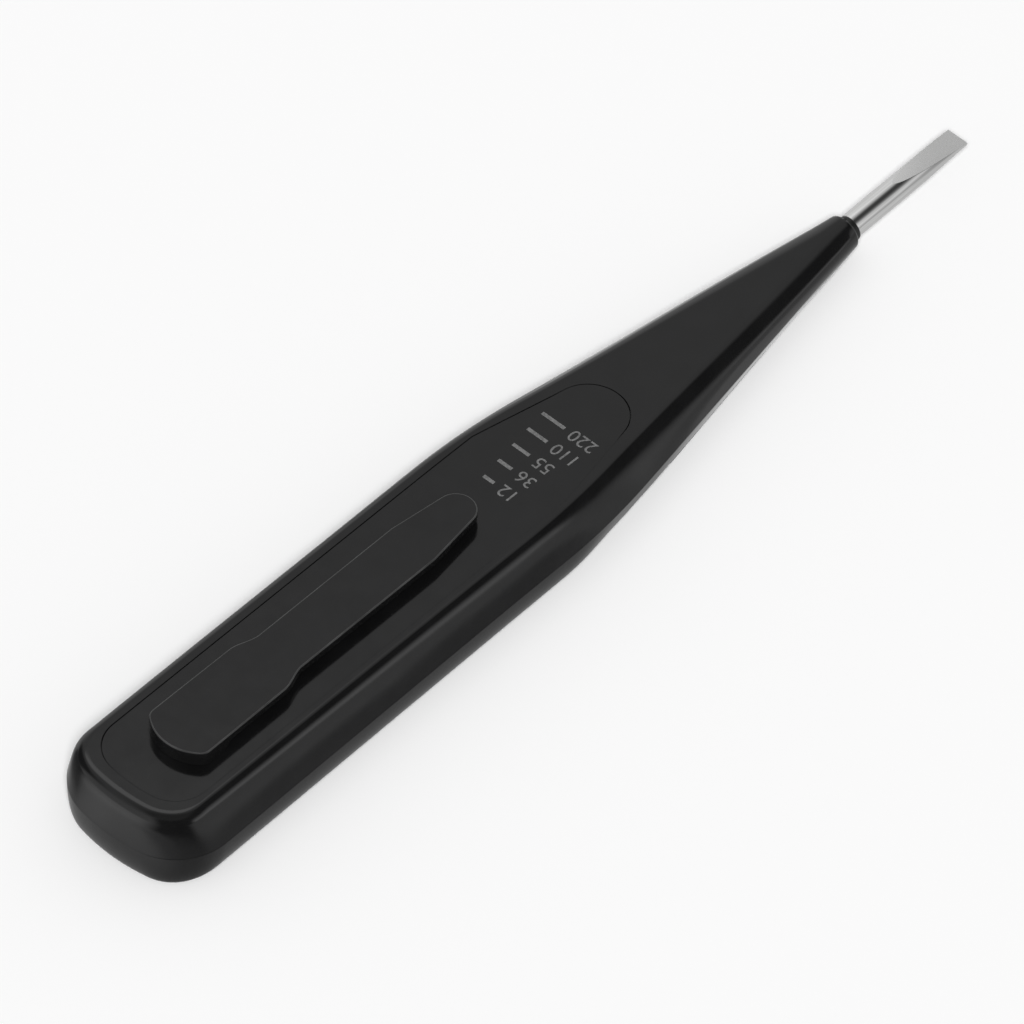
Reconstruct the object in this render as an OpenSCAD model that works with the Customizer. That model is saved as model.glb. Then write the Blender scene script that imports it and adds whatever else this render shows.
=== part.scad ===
// Digital voltage tester screwdriver, lying on its front face with the pocket clip up.
// Millimetres. Modelled with y counted from the butt, then centred along y by placed().

/* [Casing] */
// Length of the casing, from the butt to the nose end
body_length = 121.2; // [110:0.1:135]
// Width of the casing at the parting line
body_width = 21.4; // [21:0.1:23.5]
// Height of the parting line above the front face
front_depth = 5.1; // [4.9:0.1:6]
// Height of the back face above the parting line, at the butt
back_depth = 5.55; // [5.3:0.05:6.6]
// Slope of the back face along the handle, in degrees
back_slope = 1.3; // [0.8:0.1:1.6]
// Length of the tapering front part, from the shoulder to the nose end
taper_length = 50.9; // [49:0.1:53]
// Distance from the shoulder back to where the back face bends down
back_bend_setback = 6; // [3:0.1:9]
// Distance from the shoulder back to where the parting line bends down
parting_bend_setback = 12.9; // [8:0.1:14]
// Length over which the shoulder and the back bend are rounded
shoulder_round = 15; // [8:0.5:16]
// Width of the flat back face
flat_width = 15.4; // [15:0.1:16]
// Distance from the shoulder back to where the flat back face starts to taper
flat_setback = 4; // [2.5:0.1:7]
// Rounding of the edge between the flat back face and the slanted sides
edge_round = 1.1; // [0.6:0.05:1.3]
// Width of the flat front face
front_flat_width = 16.2; // [15.4:0.1:16.8]
// Diameter of the round nose
nose_d = 4.4; // [4.2:0.1:5]
// Rounding of the nose end's rim
nose_round = 0.45; // [0.3:0.05:0.6]
// Distance of the blade axis below the handle's parting line
axis_drop = 1.8; // [1.5:0.1:2]
// Thickness of the side walls
side_wall = 1.4; // [1.2:0.1:1.7]
// Thickness of the front wall
front_wall = 1.4; // [1.2:0.1:1.6]
// Thickness of the back wall where the clip plate is let in
back_wall = 2.3; // [2.1:0.1:2.6]
// Length of the solid nose that holds the shaft
nose_solid = 17.3; // [15:0.1:19]

/* [Pocket clip] */
// Width of the inset clip plate
plate_width = 14; // [13:0.1:14.4]
// Distance from the butt to the clip plate
plate_start = 3.75; // [3.2:0.05:5]
// Distance from the shoulder back to where the clip plate starts to taper
plate_setback = 3.5; // [3.3:0.1:8]
// Angle of the clip plate's tapering sides, in degrees
plate_taper = 11.2; // [9:0.1:13]
// Radius of the clip plate's front end
plate_round = 4.58; // [4.2:0.02:5.2]
// Thickness of the clip plate
plate_thickness = 1.1; // [0.9:0.05:1.3]
// Diameter of the studs that hold the clip plate
stud_d = 2; // [1.6:0.1:2.6]
// Distance from the plate's end to the clip
clip_setback = 5.6; // [4.5:0.1:8]
// Length of the clip
clip_length = 49.5; // [44:0.1:54]
// Width of the clip's root
root_width = 8.82; // [7.6:0.02:10]
// Length of the clip's root, up to where the arm flexes
root_length = 6; // [5:0.1:8]
// Width of the clip's arm
arm_width = 6.7; // [5:0.1:7.4]
// Height of the clip above its plate
clip_height = 2; // [1.6:0.05:2.4]
// Thickness of the clip's arm
arm_thickness = 1.1; // [0.8:0.05:1.25]
// Angle at which the arm runs down toward its tip, in degrees
arm_fall = 0.1; // [0:0.05:0.5]

/* [Blade] */
// Length of the blade beyond the nose
blade_reach = 18.9; // [15:0.1:30]
// Diameter of the shaft, and width of its tip
shaft_d = 3; // [2.9:0.1:3.2]
// Diameter of the shaft's turned-down root in the nose and the collar
shaft_root_d = 2.2; // [2:0.1:2.3]
// Length of the ground tip
tip_length = 11; // [8:0.1:13]
// Thickness of the tip's end
tip_thickness = 0.6; // [0.4:0.05:0.9]
// Length of the insulating collar at the nose
collar_length = 0.8; // [0.6:0.05:1.6]
// Diameter of the insulating collar
collar_d = 3.4; // [3.3:0.05:4]
// Diameter of the shaft's cross pin
pin_d = 1; // [0.8:0.1:1.2]

/* [Display] */
// Distance from the shoulder to the display lens
lens_setback = 14; // [13:0.1:15]
// Length of the display lens
lens_length = 20; // [18:0.1:23]
// Thickness of the display lens
lens_thickness = 0.9; // [0.7:0.05:1]
// How far the lens reaches over each edge of the front face
lens_overhang = 0.8; // [0.4:0.05:0.9]
// Length of the display glass
lcd_length = 13; // [10:0.1:13.5]
// Width of the display glass
lcd_width = 5.6; // [4.6:0.1:6]
// Thickness of the display glass
lcd_thickness = 0.9; // [0.7:0.05:0.95]
// Wall of the frame that holds the display glass
holder_wall = 0.5; // [0.4:0.05:0.7]

/* [Keys] */
// Width of the touch keys
key_width = 9; // [7:0.1:9.6]
// Length of the touch keys
key_length = 7; // [5.5:0.1:7.6]
// Distance between the middles of the two keys
key_pitch = 11.5; // [11:0.1:13]
// Distance from the lens to the middle of the nearer key
key_setback = 8.6; // [8:0.1:10]
// Width of the flange that keeps a key in the casing
key_flange = 0.9; // [0.6:0.05:1]
// Travel of a key
key_travel = 0.5; // [0.3:0.05:0.6]
// Wire of the key springs
key_wire = 0.25; // [0.2:0.01:0.3]

/* [Board] */
// Thickness of the circuit board
board_thickness = 1; // [0.8:0.05:1.1]
// Width of the circuit board
board_width = 10.4; // [10:0.1:10.6]
// Distance from the butt to the circuit board
board_start = 26; // [22:0.5:30]
// Distance of the board's underside below the parting line
board_drop = 1.5; // [1.4:0.05:1.6]

/* [Hidden] */
$fn = 48;

// Clearances
fit = 0.05;          // between fixed pieces that locate each other
seat_gap = 0.1;      // round the clip plate in its seat
plate_recess = 0.04; // of the clip plate below the back face
run_gap = 0.15;      // round a key in its opening
hinge_gap = 0.06;    // round the clip arm's knuckle
rest_gap = 0.05;     // of the lens above the surface that the part lies on
key_recess = 0.15;   // of the keys above the surface that the part lies on

total_length = body_length + blade_reach;
shoulder_y = body_length - taper_length;
back_bend_y = shoulder_y - back_bend_setback;
parting_bend_y = shoulder_y - parting_bend_setback;
flat_shoulder_y = shoulder_y - flat_setback;
plate_shoulder_y = shoulder_y - plate_setback;
body_half = body_width / 2;
nose_r = nose_d / 2;
shaft_r = shaft_d / 2;
shaft_root_r = shaft_root_d / 2;
collar_end = body_length + collar_length;
axis_z = front_depth - axis_drop;
back_z = front_depth + back_depth;
round_half = shoulder_round / 2;
nose_y = body_length - nose_round;
cavity_end = body_length - nose_solid;
nose_flat_half = 0.12;
tangent = 0.552;     // handle of a curve piece that follows a quarter circle

// Zero up to a corner, then rising one for one, with the corner rounded over b on both sides
function ramp(d, b) = d < -b ? 0 : d > b ? d : pow(d + b, 2) / (4 * b);
function mix(a, b, t) = a + (b - a) * t;
function clamp01(t) = min(1, max(0, t));
function ease(t) = let (c = clamp01(t)) c * c * (3 - 2 * c);
// Falls from one value in the handle to another at the nose
function tapered(y, handle, nose, start) =
    handle - (handle - nose) * ramp(y - start, round_half) / (nose_y - start);

// Half widths and heights along the casing
function parting_half(y) = tapered(y, body_half, nose_r, shoulder_y);
function parting_z(y) = tapered(y, front_depth, axis_z, parting_bend_y);
flat_end_y = nose_y - 3;
function flat_half(y) = max(nose_flat_half,
    flat_width / 2 - (flat_width / 2 - nose_flat_half) * ramp(y - flat_shoulder_y, round_half)
    / (flat_end_y - flat_shoulder_y));
function handle_back_z(y) = back_z - tan(back_slope) * y;
function back_top_z(y) = handle_back_z(y) - (handle_back_z(nose_y) - axis_z - nose_r)
    * ramp(y - back_bend_y, round_half) / (nose_y - back_bend_y);
function front_half(y) = tapered(y, front_flat_width / 2, nose_flat_half, shoulder_y);
function front_z(y) = tapered(y, 0, axis_z - nose_r, shoulder_y);
function inner_half(y) = parting_half(y) - side_wall;
taper_wall = 1.3;
function roof_z(y) = back_top_z(y) - mix(back_wall, taper_wall, ease((y - plate_round_y - plate_round - 0.5) / 6));
function floor_z(y) = front_z(y) + front_wall;

// The right half of an outline seen from above: a crowned butt end with round corners
butt_steps = 3;
corner_steps = 6;
function butt_points(half, start, crown, corner) =
    let (cx = half - corner,
         first = asin(cx / (crown - corner)),
         cy = start + crown - sqrt(pow(crown - corner, 2) - cx * cx))
    concat(
        [for (i = [0 : butt_steps]) let (a = first * i / butt_steps)
            [crown * sin(a), start + crown * (1 - cos(a))]],
        [for (i = [1 : corner_steps]) let (a = mix(first, 90, i / corner_steps))
            [cx + corner * sin(a), cy - corner * cos(a)]]);

// Stations along a side, close together where the shoulder bends
function side_stations(last) = concat(
    [for (t = [0.14, 0.3, 0.45, 0.6, 0.72]) shoulder_y * t],
    [for (d = [-16 : 4 : 8]) shoulder_y + d],
    [for (i = [1 : 6]) mix(shoulder_y + 8, last, i / 6)]);
nose_steps = 3;
function nose_angles() = [for (i = [1 : nose_steps]) 90 * i / nose_steps];

butt_crown = 25.3;
butt_corner = 7.7;
rim_start = 2.5;
rim_crown = 26;
rim_corner = 4.6;
sole_start = 1.35;
sole_corner = 3.4;
cavity_round = 1;

// Outline points with their heights, from the butt's middle to the nose
function outer_base() = concat(
    [for (p = butt_points(body_half, 0, butt_crown, butt_corner)) [p.x, p.y, parting_z(p.y)]],
    [for (y = side_stations(nose_y)) [parting_half(y), y, parting_z(y)]],
    [for (a = nose_angles()) [nose_r - nose_round * (1 - cos(a)), nose_y + nose_round * sin(a), axis_z]]);
function back_rim() = concat(
    [for (p = butt_points(flat_width / 2, rim_start, rim_crown, rim_corner))
        [p.x, p.y, back_top_z(p.y)]],
    [for (y = side_stations(nose_y)) [flat_half(y), y, back_top_z(y)]],
    [for (a = nose_angles()) [nose_flat_half, nose_y + nose_round * sin(a),
        axis_z + nose_r - nose_round * (1 - cos(a))]]);
function front_rim() = concat(
    [for (p = butt_points(front_flat_width / 2, sole_start, butt_crown, sole_corner)) [p.x, p.y, 0]],
    [for (y = side_stations(nose_y)) [front_half(y), y, front_z(y)]],
    [for (a = nose_angles()) [nose_flat_half, nose_y + nose_round * sin(a),
        axis_z - nose_r + nose_round * (1 - cos(a))]]);

cavity_y = cavity_end - cavity_round;
function cavity_points(half, height) = concat(
    [for (y = side_stations(cavity_y)) [half(y), y, height(y)]],
    [for (a = nose_angles()) let (y = cavity_y + cavity_round * sin(a))
        [half(cavity_y) - cavity_round * (1 - cos(a)), y, height(y)]]);
function inner_base() = concat(
    [for (p = butt_points(body_half - side_wall, side_wall, butt_crown - side_wall,
                          butt_corner - side_wall)) [p.x, p.y, parting_z(p.y)]],
    cavity_points(function (y) inner_half(y), function (y) parting_z(y)));
roof_inset = 0.9;
function roof_rim() = concat(
    [for (p = butt_points(flat_width / 2 - roof_inset, rim_start + side_wall, rim_crown, rim_corner))
        [p.x, p.y, roof_z(p.y)]],
    cavity_points(function (y) min(flat_half(y) - roof_inset * 0.4, inner_half(y) - 0.6),
                  function (y) roof_z(y)));
floor_inset = 1;
function floor_rim() = concat(
    [for (p = butt_points(front_flat_width / 2 - floor_inset, sole_start + side_wall, butt_crown,
                          sole_corner)) [p.x, p.y, floor_z(p.y)]],
    cavity_points(function (y) min(front_half(y) - 0.2, inner_half(y) - 1),
                  function (y) floor_z(y)));

// One curve from a base point to a rim point: a wall that leans to corner, rounded into the face
function curve_point(base, rim, lean, rise, reach, t) =
    let (side = [base.x - rim.x, base.y - rim.y, 0],
         corner = rim + side * lean,
         p1 = base + (corner - base) * rise,
         p2 = rim + side * reach,
         u = 1 - t)
    base * u * u * u + p1 * 3 * u * u * t + p2 * 3 * u * t * t + rim * t * t * t;
function toward_nose(y) = ease((y - shoulder_y - 6) / (nose_y - shoulder_y - 6));
// The back's edge is rounder round the butt than along the sides
side_edge_y = 7.3;
butt_edge_y = 3.3;
butt_wall_lean = 2.02;
butt_reach = 0.45;
function back_curve(base, rim, t) =
    let (width = max(0.01, norm([base.x - rim.x, base.y - rim.y])),
         soft = ease((side_edge_y - rim.y) / (side_edge_y - butt_edge_y)),
         edge = min(1, (edge_round + soft * max(0, width - butt_wall_lean)) / width),
         s = toward_nose(base.y))
    curve_point(base, rim, mix(edge, 1, s), mix(0.76, tangent, s),
                mix(edge * 0.93 + soft * butt_reach / width, tangent, s), t);
// The front half's sides are upright along the handle and lean in along the taper
function front_lean(y) = 1 - 0.52 * ease((y - shoulder_y + 6) / 9)
    * (1 - ease((y - nose_y + 15) / 13));
function front_curve(base, rim, t) =
    curve_point(base, rim, front_lean(base.y), mix(0.81, tangent, toward_nose(base.y)), tangent, t);

outer_steps = 9;
inner_steps = 4;
function mirrored(list) = concat(
    [for (i = [len(list) - 1 : -1 : 1]) [-list[i].x, list[i].y, list[i].z]], list);
function shell_points(base, rim, inner, inner_rim, curve) =
    let (b = mirrored(base), r = mirrored(rim), ib = mirrored(inner), ir = mirrored(inner_rim))
    concat(
        [for (j = [0 : outer_steps]) for (i = [0 : len(b) - 1]) curve(b[i], r[i], j / outer_steps)],
        [for (j = [0 : inner_steps]) for (i = [0 : len(b) - 1]) curve(ib[i], ir[i], j / inner_steps)]);

// Triangles of a grid of rings, of the strips that close its last ring and of its open end
function grid_faces(first, n, steps) = [
    for (j = [0 : steps - 1]) for (i = [0 : n - 2])
        let (a = first + j * n + i) each [[a, a + n, a + n + 1], [a, a + n + 1, a + 1]]];
function strip_faces(first, n, steps) =
    let (mid = first + steps * n + (n - 1) / 2)
    [for (k = [0 : (n - 3) / 2]) each k == 0
        ? [[mid - 1, mid + 1, mid]]
        : [[mid - k - 1, mid + k + 1, mid + k], [mid - k - 1, mid + k, mid - k]]];
function end_face(first, n, steps) = [concat(
    [for (j = [0 : steps]) first + j * n + n - 1],
    [for (j = [steps : -1 : 0]) first + j * n])];
function turned(faces) = [for (f = faces) [for (i = [len(f) - 1 : -1 : 0]) f[i]]];
function shell_faces(n) =
    let (inner = (outer_steps + 1) * n)
    concat(
        grid_faces(0, n, outer_steps), strip_faces(0, n, outer_steps), end_face(0, n, outer_steps),
        turned(concat(grid_faces(inner, n, inner_steps), strip_faces(inner, n, inner_steps),
                      end_face(inner, n, inner_steps))),
        [for (i = [0 : n - 2]) each [[i, i + 1, inner + i + 1], [i, inner + i + 1, inner + i]]],
        [[n - 1, 0, inner], [n - 1, inner, inner + n - 1]]);

module placed() {
    translate([0, -total_length / 2, 0]) children();
}

// A cylinder along y, and one along x
module rod_y(r, from, to, z) {
    translate([0, from, z]) rotate([-90, 0, 0]) cylinder(r = r, h = to - from);
}
module rod_x(r, length, y, z) {
    translate([-length / 2, y, z]) rotate([0, 90, 0]) cylinder(r = r, h = length);
}
// A block from corner to corner
module block(from, to) {
    translate(from) cube(to - from);
}
// A plate with round corners, standing on z = 0
module round_plate(width, length, height, corner) {
    translate([-width / 2 + corner, -length / 2, 0]) cube([width - 2 * corner, length, height]);
    translate([-width / 2, -length / 2 + corner, 0]) cube([width, length - 2 * corner, height]);
    for (x = [-1, 1], y = [-1, 1])
        translate([x * (width / 2 - corner), y * (length / 2 - corner), 0])
            cylinder(r = corner, h = height);
}

// The back face's slope as a band between two depths below it
band_ys = concat([-5, back_bend_y - round_half],
    [for (i = [1 : 5]) back_bend_y + mix(-round_half, round_half, i / 6)],
    [back_bend_y + round_half, nose_y]);
module back_band(upper, lower, width) {
    rotate([90, 0, 90]) linear_extrude(width, center = true) polygon(concat(
        [for (y = band_ys) [y, back_top_z(y) - upper]],
        [for (i = [len(band_ys) - 1 : -1 : 0]) [band_ys[i], back_top_z(band_ys[i]) - lower]]));
}

// Clip plate
plate_crown = 22;
plate_corner = 4.6;
plate_round_y = plate_shoulder_y
    + (plate_width / 2 * cos(plate_taper) - plate_round) / sin(plate_taper);
plate_arc_steps = 10;
function plate_half_points(grow) = concat(
    butt_points(plate_width / 2 + grow, plate_start - grow, plate_crown, plate_corner),
    [[plate_width / 2 + grow, plate_shoulder_y]],
    [for (i = [0 : plate_arc_steps]) let (a = mix(plate_taper, 90, i / plate_arc_steps))
        (plate_round + grow) * [cos(a), sin(a)] + [0, plate_round_y]]);
module plate_prism(grow) {
    half = plate_half_points(grow);
    linear_extrude(back_z + 1) polygon(concat(half,
        [for (i = [len(half) - 2 : -1 : 1]) [-half[i].x, half[i].y]]));
}
clip_start = plate_start + clip_setback;
stud_ys = [clip_start + root_length / 2, plate_shoulder_y + 9];
stud_head_r = stud_d / 2 + 0.6;
stud_head = 0.6;

// Pillars that pin the two halves together
pillar_x = body_half - side_wall - 2.3;
pillar_ys = [15, 0.66 * shoulder_y];
pillar_r = 1.6;
dowel_r = 0.8;
dowel_length = 1.6;

// Board seats
board_z = front_depth - board_drop;
board_top = board_z + board_thickness;
terminal_room = 2.7;
board_end = cavity_end - terminal_room;
seat_ys = [board_start + 5, board_start + 20];
seat_thickness = 1.6;
peg_r = 0.8;
peg_length = 1.6;
board_end_half = inner_half(board_end) - 0.6;
board_neck_y = board_end - 11;

// Keys
lens_start = shoulder_y + lens_setback;
induction_y = lens_start - key_setback;
direct_y = induction_y - key_pitch;
key_corner = 1.5;
flange_thickness = 0.5;
pad_thickness = 0.1;
pad_r = 1.9;
function flange_z(y) = floor_z(y + key_length / 2 + key_flange) + fit;
function spring_bottom(y) = flange_z(y) + flange_thickness;
spring_top = board_z - pad_thickness;

// Display
lcd_start = lens_start + 1.6;
lcd_end = lcd_start + lcd_length;
lens_top = rest_gap + lens_thickness;
lcd_z = floor_z(lcd_end) + fit;
window_margin = 0.6;

module back_shell() {
    color([0.03, 0.03, 0.03]) placed() difference() {
        union() {
            polyhedron(shell_points(outer_base(), back_rim(), inner_base(), roof_rim(),
                                    function (b, r, t) back_curve(b, r, t)),
                       shell_faces(2 * len(outer_base()) - 1), convexity = 8);
            for (x = [-1, 1], y = pillar_ys)
                translate([x * pillar_x, y, front_depth])
                    cylinder(r = pillar_r, h = roof_z(y) - front_depth + 0.3);
            // Ribs that hold the board down
            for (y = seat_ys)
                block([-board_width / 2 + 1, y - seat_thickness / 2, board_top + fit],
                      [board_width / 2 - 1, y + seat_thickness / 2, roof_z(y) + 0.3]);
        }
        intersection() {
            plate_prism(seat_gap);
            back_band(-5, plate_recess + plate_thickness + fit, body_width);
        }
        for (y = stud_ys)
            translate([0, y, front_depth]) cylinder(r = stud_d / 2 + fit, h = back_depth);
        for (x = [-1, 1], y = pillar_ys)
            translate([x * pillar_x, y, front_depth - 1]) cylinder(r = dowel_r + fit, h = dowel_length + 1.2);
        for (y = seat_ys)
            translate([0, y, board_top]) cylinder(r = peg_r + 0.1, h = peg_length);
        shaft_room();
    }
}

module shaft_room() {
    rod_y(shaft_root_r + fit, cavity_end - 1, body_length + 1, axis_z);
    rod_x(pin_d / 2 + fit, pin_length + 2 * fit, pin_y, axis_z);
}

module front_shell() {
    color([0.035, 0.035, 0.035]) placed() difference() {
        union() {
            polyhedron(shell_points(outer_base(), front_rim(), inner_base(), floor_rim(),
                                    function (b, r, t) front_curve(b, r, t)),
                       turned(shell_faces(2 * len(outer_base()) - 1)), convexity = 8);
            for (x = [-1, 1], y = pillar_ys) translate([x * pillar_x, y, front_wall - 0.4]) {
                cylinder(r = pillar_r, h = front_depth - front_wall + 0.4);
                cylinder(r = dowel_r, h = front_depth - front_wall + 0.4 + dowel_length);
            }
            for (y = seat_ys) {
                block([-board_width / 2 + 1, y - seat_thickness / 2, front_wall - 0.4],
                      [board_width / 2 - 1, y + seat_thickness / 2, board_z]);
                translate([0, y, front_wall - 0.4])
                    cylinder(r = peg_r, h = board_z + peg_length - front_wall + 0.4 - fit);
            }
        }
        lens_room();
        for (y = [direct_y, induction_y])
            translate([0, y, -1])
                round_plate(key_width + 2 * run_gap, key_length + 2 * run_gap, front_wall + 2, key_corner);
        // Window under the lens
        block([-lcd_width / 2 + window_margin, lcd_start + window_margin, 0],
              [lcd_width / 2 - window_margin, lcd_end - window_margin, floor_z(lcd_end) + 1]);
        shaft_room();
    }
}

// The lens follows the taper of the front face
lens_end = lens_start + lens_length;
function lens_half(y) = front_half(y) + lens_overhang;
module lens_prism(grow, from_z, to_z) {
    right = [[lens_half(lens_start) + grow, lens_start - grow],
             [lens_half(lens_end) + grow, lens_end + grow]];
    translate([0, 0, from_z]) linear_extrude(to_z - from_z) polygon(
        [right[0], right[1], [-right[1].x, right[1].y], [-right[0].x, right[0].y]]);
}
module lens_room() {
    lens_prism(fit, -1, lens_top + fit);
}
module display_lens() {
    color([0.75, 0.78, 0.78, 0.6]) placed() lens_prism(0, rest_gap, lens_top);
}

module clip_plate() {
    color([0.03, 0.03, 0.03]) placed() {
        intersection() {
            plate_prism(0);
            back_band(plate_recess, plate_recess + plate_thickness, body_width);
        }
        for (y = stud_ys) {
            head_top = roof_z(y + stud_head_r) - fit;
            translate([0, y, head_top - stud_head]) {
                cylinder(r = stud_head_r, h = stud_head);
                cylinder(r = stud_d / 2, h = back_top_z(y) - plate_recess - plate_thickness / 2
                    - head_top + stud_head);
            }
        }
    }
}

// Clip, in the plate's own plane with y counted from the clip's rounded end
module on_plate() {
    placed() translate([0, clip_start, back_top_z(clip_start) - plate_recess])
        rotate([-back_slope, 0, 0]) children();
}
knuckle_r = arm_thickness / 2;
hinge_z = clip_height - knuckle_r;
root_crown = 6.05;
root_neck = 0.11;
jog_start = 14.7;
jog_length = 3.9;
bullet_length = 9.4;
bullet_r = 2.45;
jog_steps = 8;
function clip_half(y) = mix(root_width / 2 - root_neck * clamp01(y / jog_start), arm_width / 2,
    ease((y - jog_start) / jog_length));
root_arc = asin(root_width / 2 / root_crown);
bullet_lean = asin((arm_width / 2 - bullet_r) / (bullet_length - bullet_r));
function root_points() = concat(
    [for (i = [0 : 6]) let (a = root_arc * i / 6) root_crown * [sin(a), 1 - cos(a)]],
    [[clip_half(root_length), root_length]]);
function arm_points() = concat(
    [[0, root_length], [clip_half(root_length), root_length]],
    [for (i = [0 : jog_steps]) let (y = jog_start + jog_length * i / jog_steps) [clip_half(y), y]],
    [[arm_width / 2, clip_length - bullet_length]],
    [for (i = [0 : 8]) let (a = mix(bullet_lean, 90, i / 8))
        bullet_r * [cos(a), sin(a)] + [0, clip_length - bullet_r]]);
module both_sides(points) {
    polygon(concat(points, [for (i = [len(points) - 1 : -1 : 0]) if (points[i].x > 0)
        [-points[i].x, points[i].y]]));
}
module clip_root() {
    color([0.03, 0.03, 0.03]) on_plate() difference() {
        linear_extrude(clip_height) both_sides(root_points());
        rod_x(knuckle_r + hinge_gap, root_width + 2, root_length, hinge_z);
    }
}
bump_r = 0.3;
bump_gap = 0.06;
bump_y = clip_length - 2.6;
module clip_arm() {
    knuckle_width = 2 * clip_half(root_length);
    color([0.03, 0.03, 0.03]) on_plate() translate([0, root_length, hinge_z]) rotate([-arm_fall, 0, 0])
    translate([0, -root_length, -hinge_z]) {
        translate([0, 0, clip_height - arm_thickness]) linear_extrude(arm_thickness)
            both_sides(arm_points());
        rod_x(knuckle_r, knuckle_width, root_length, hinge_z);
        // Ridge under the tip that grips the cloth
        translate([0, 0, bump_drop]) rod_x(bump_r, arm_width * 0.55, bump_y, bump_r);
        block([-arm_width * 0.275, bump_y - bump_r, bump_drop + bump_r],
              [arm_width * 0.275, bump_y + bump_r, clip_height - arm_thickness + 0.2]);
    }
}
bump_drop = bump_gap + (bump_y - root_length) * tan(arm_fall);

// Blade
root_y = cavity_end + 2;
pin_y = cavity_end + 7;
pin_length = 2 * (parting_half(pin_y) - 1.3);
module blade() {
    grind = atan((shaft_r - tip_thickness / 2) / tip_length);
    color([0.75, 0.75, 0.75]) placed() difference() {
        union() {
            rod_y(shaft_root_r, root_y, collar_end + 0.5, axis_z);
            rod_y(shaft_r, collar_end + 0.02, total_length - tip_length, axis_z);
            // The ground part narrows a little toward the tip
            translate([0, total_length - tip_length, axis_z]) rotate([-90, 0, 0])
                cylinder(r1 = shaft_r, r2 = shaft_r - 0.03, h = tip_length);
        }
        for (side = [-1, 1])
            translate([0, total_length, axis_z + side * tip_thickness / 2]) rotate([-side * grind, 0, 0])
                translate([-shaft_d, -2 * tip_length, side > 0 ? 0 : -shaft_d])
                    cube([2 * shaft_d, 3 * tip_length, shaft_d]);
        rod_x(pin_d / 2 + 0.01, 2 * shaft_d, pin_y, axis_z);
    }
}
module insulating_collar() {
    color([0.04, 0.04, 0.04]) placed() difference() {
        rod_y(collar_d / 2, body_length, collar_end, axis_z);
        rod_y(shaft_root_r + 0.02, body_length - 1, collar_end + 1, axis_z);
    }
}
module anchor_pin() {
    color([0.7, 0.7, 0.7]) placed() rod_x(pin_d / 2, pin_length, pin_y, axis_z);
}

// Round wire along a list of points, closed at both ends
wire_sides = 6;
function ring_of(c, dir, r) =
    let (side = cross(dir, [0, 0.02, 1]), a = side / norm(side), b = cross(dir, a) / norm(dir))
    [for (i = [0 : wire_sides - 1]) let (t = 360 * i / wire_sides) c + r * (cos(t) * a + sin(t) * b)];
module wire(path, r) {
    n = len(path);
    points = [for (i = [0 : n - 1]) each
        ring_of(path[i], path[min(n - 1, i + 1)] - path[max(0, i - 1)], r)];
    sides = [for (j = [0 : n - 2]) for (i = [0 : wire_sides - 1])
        let (k = (i + 1) % wire_sides, a = j * wire_sides, b = a + wire_sides)
        each [[a + i, a + k, b + k], [a + i, b + k, b + i]]];
    ends = [for (i = [1 : wire_sides - 2]) each
        [[0, i + 1, i], [(n - 1) * wire_sides, (n - 1) * wire_sides + i, (n - 1) * wire_sides + i + 1]]];
    polyhedron(points, turned(concat(sides, ends)), convexity = 10);
}
turn_steps = 8;
blade_wire = 0.35;
blade_coil_r = shaft_root_r - 0.3;
blade_turns = 4;
terminal_thickness = 0.3;
terminal_y = board_end + 0.1;
module blade_spring() {
    from = terminal_y + terminal_thickness + blade_wire / 2 + 0.02;
    to = root_y - blade_wire / 2 - 0.02;
    color([0.8, 0.8, 0.75]) placed() wire(
        [for (i = [0 : blade_turns * turn_steps]) let (t = i / turn_steps)
            [blade_coil_r * cos(360 * t), mix(from, to, t / blade_turns), axis_z + blade_coil_r * sin(360 * t)]],
        blade_wire / 2);
}
module blade_terminal() {
    foot = 3;
    color([0.85, 0.75, 0.45]) placed() {
        block([-1.4, terminal_y, axis_z - 1.2],
              [1.4, terminal_y + terminal_thickness, board_top + terminal_thickness]);
        block([-1.4, board_end - foot, board_top], [1.4, terminal_y + terminal_thickness, board_top + terminal_thickness]);
    }
}

// Display
module lcd_glass() {
    color([0.55, 0.6, 0.5]) placed()
        block([-lcd_width / 2, lcd_start, lcd_z], [lcd_width / 2, lcd_end, lcd_z + lcd_thickness]);
}
module lcd_holder() {
    w = lcd_width / 2 + fit;
    color([0.9, 0.9, 0.88]) placed() difference() {
        block([-w - holder_wall, lcd_start - fit - holder_wall, lcd_z],
              [w + holder_wall, lcd_end + fit + holder_wall, board_z]);
        block([-w, lcd_start - fit, lcd_z - 1], [w, lcd_end + fit, board_z + 1]);
    }
}
zebra_width = 1;
module zebra_strips() {
    color([0.2, 0.2, 0.22]) placed() for (x = [-1, 1])
        translate([x * (lcd_width / 2 - zebra_width / 2) - zebra_width / 2, lcd_start, lcd_z + lcd_thickness])
            cube([zebra_width, lcd_length, board_z - lcd_z - lcd_thickness]);
}

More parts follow.
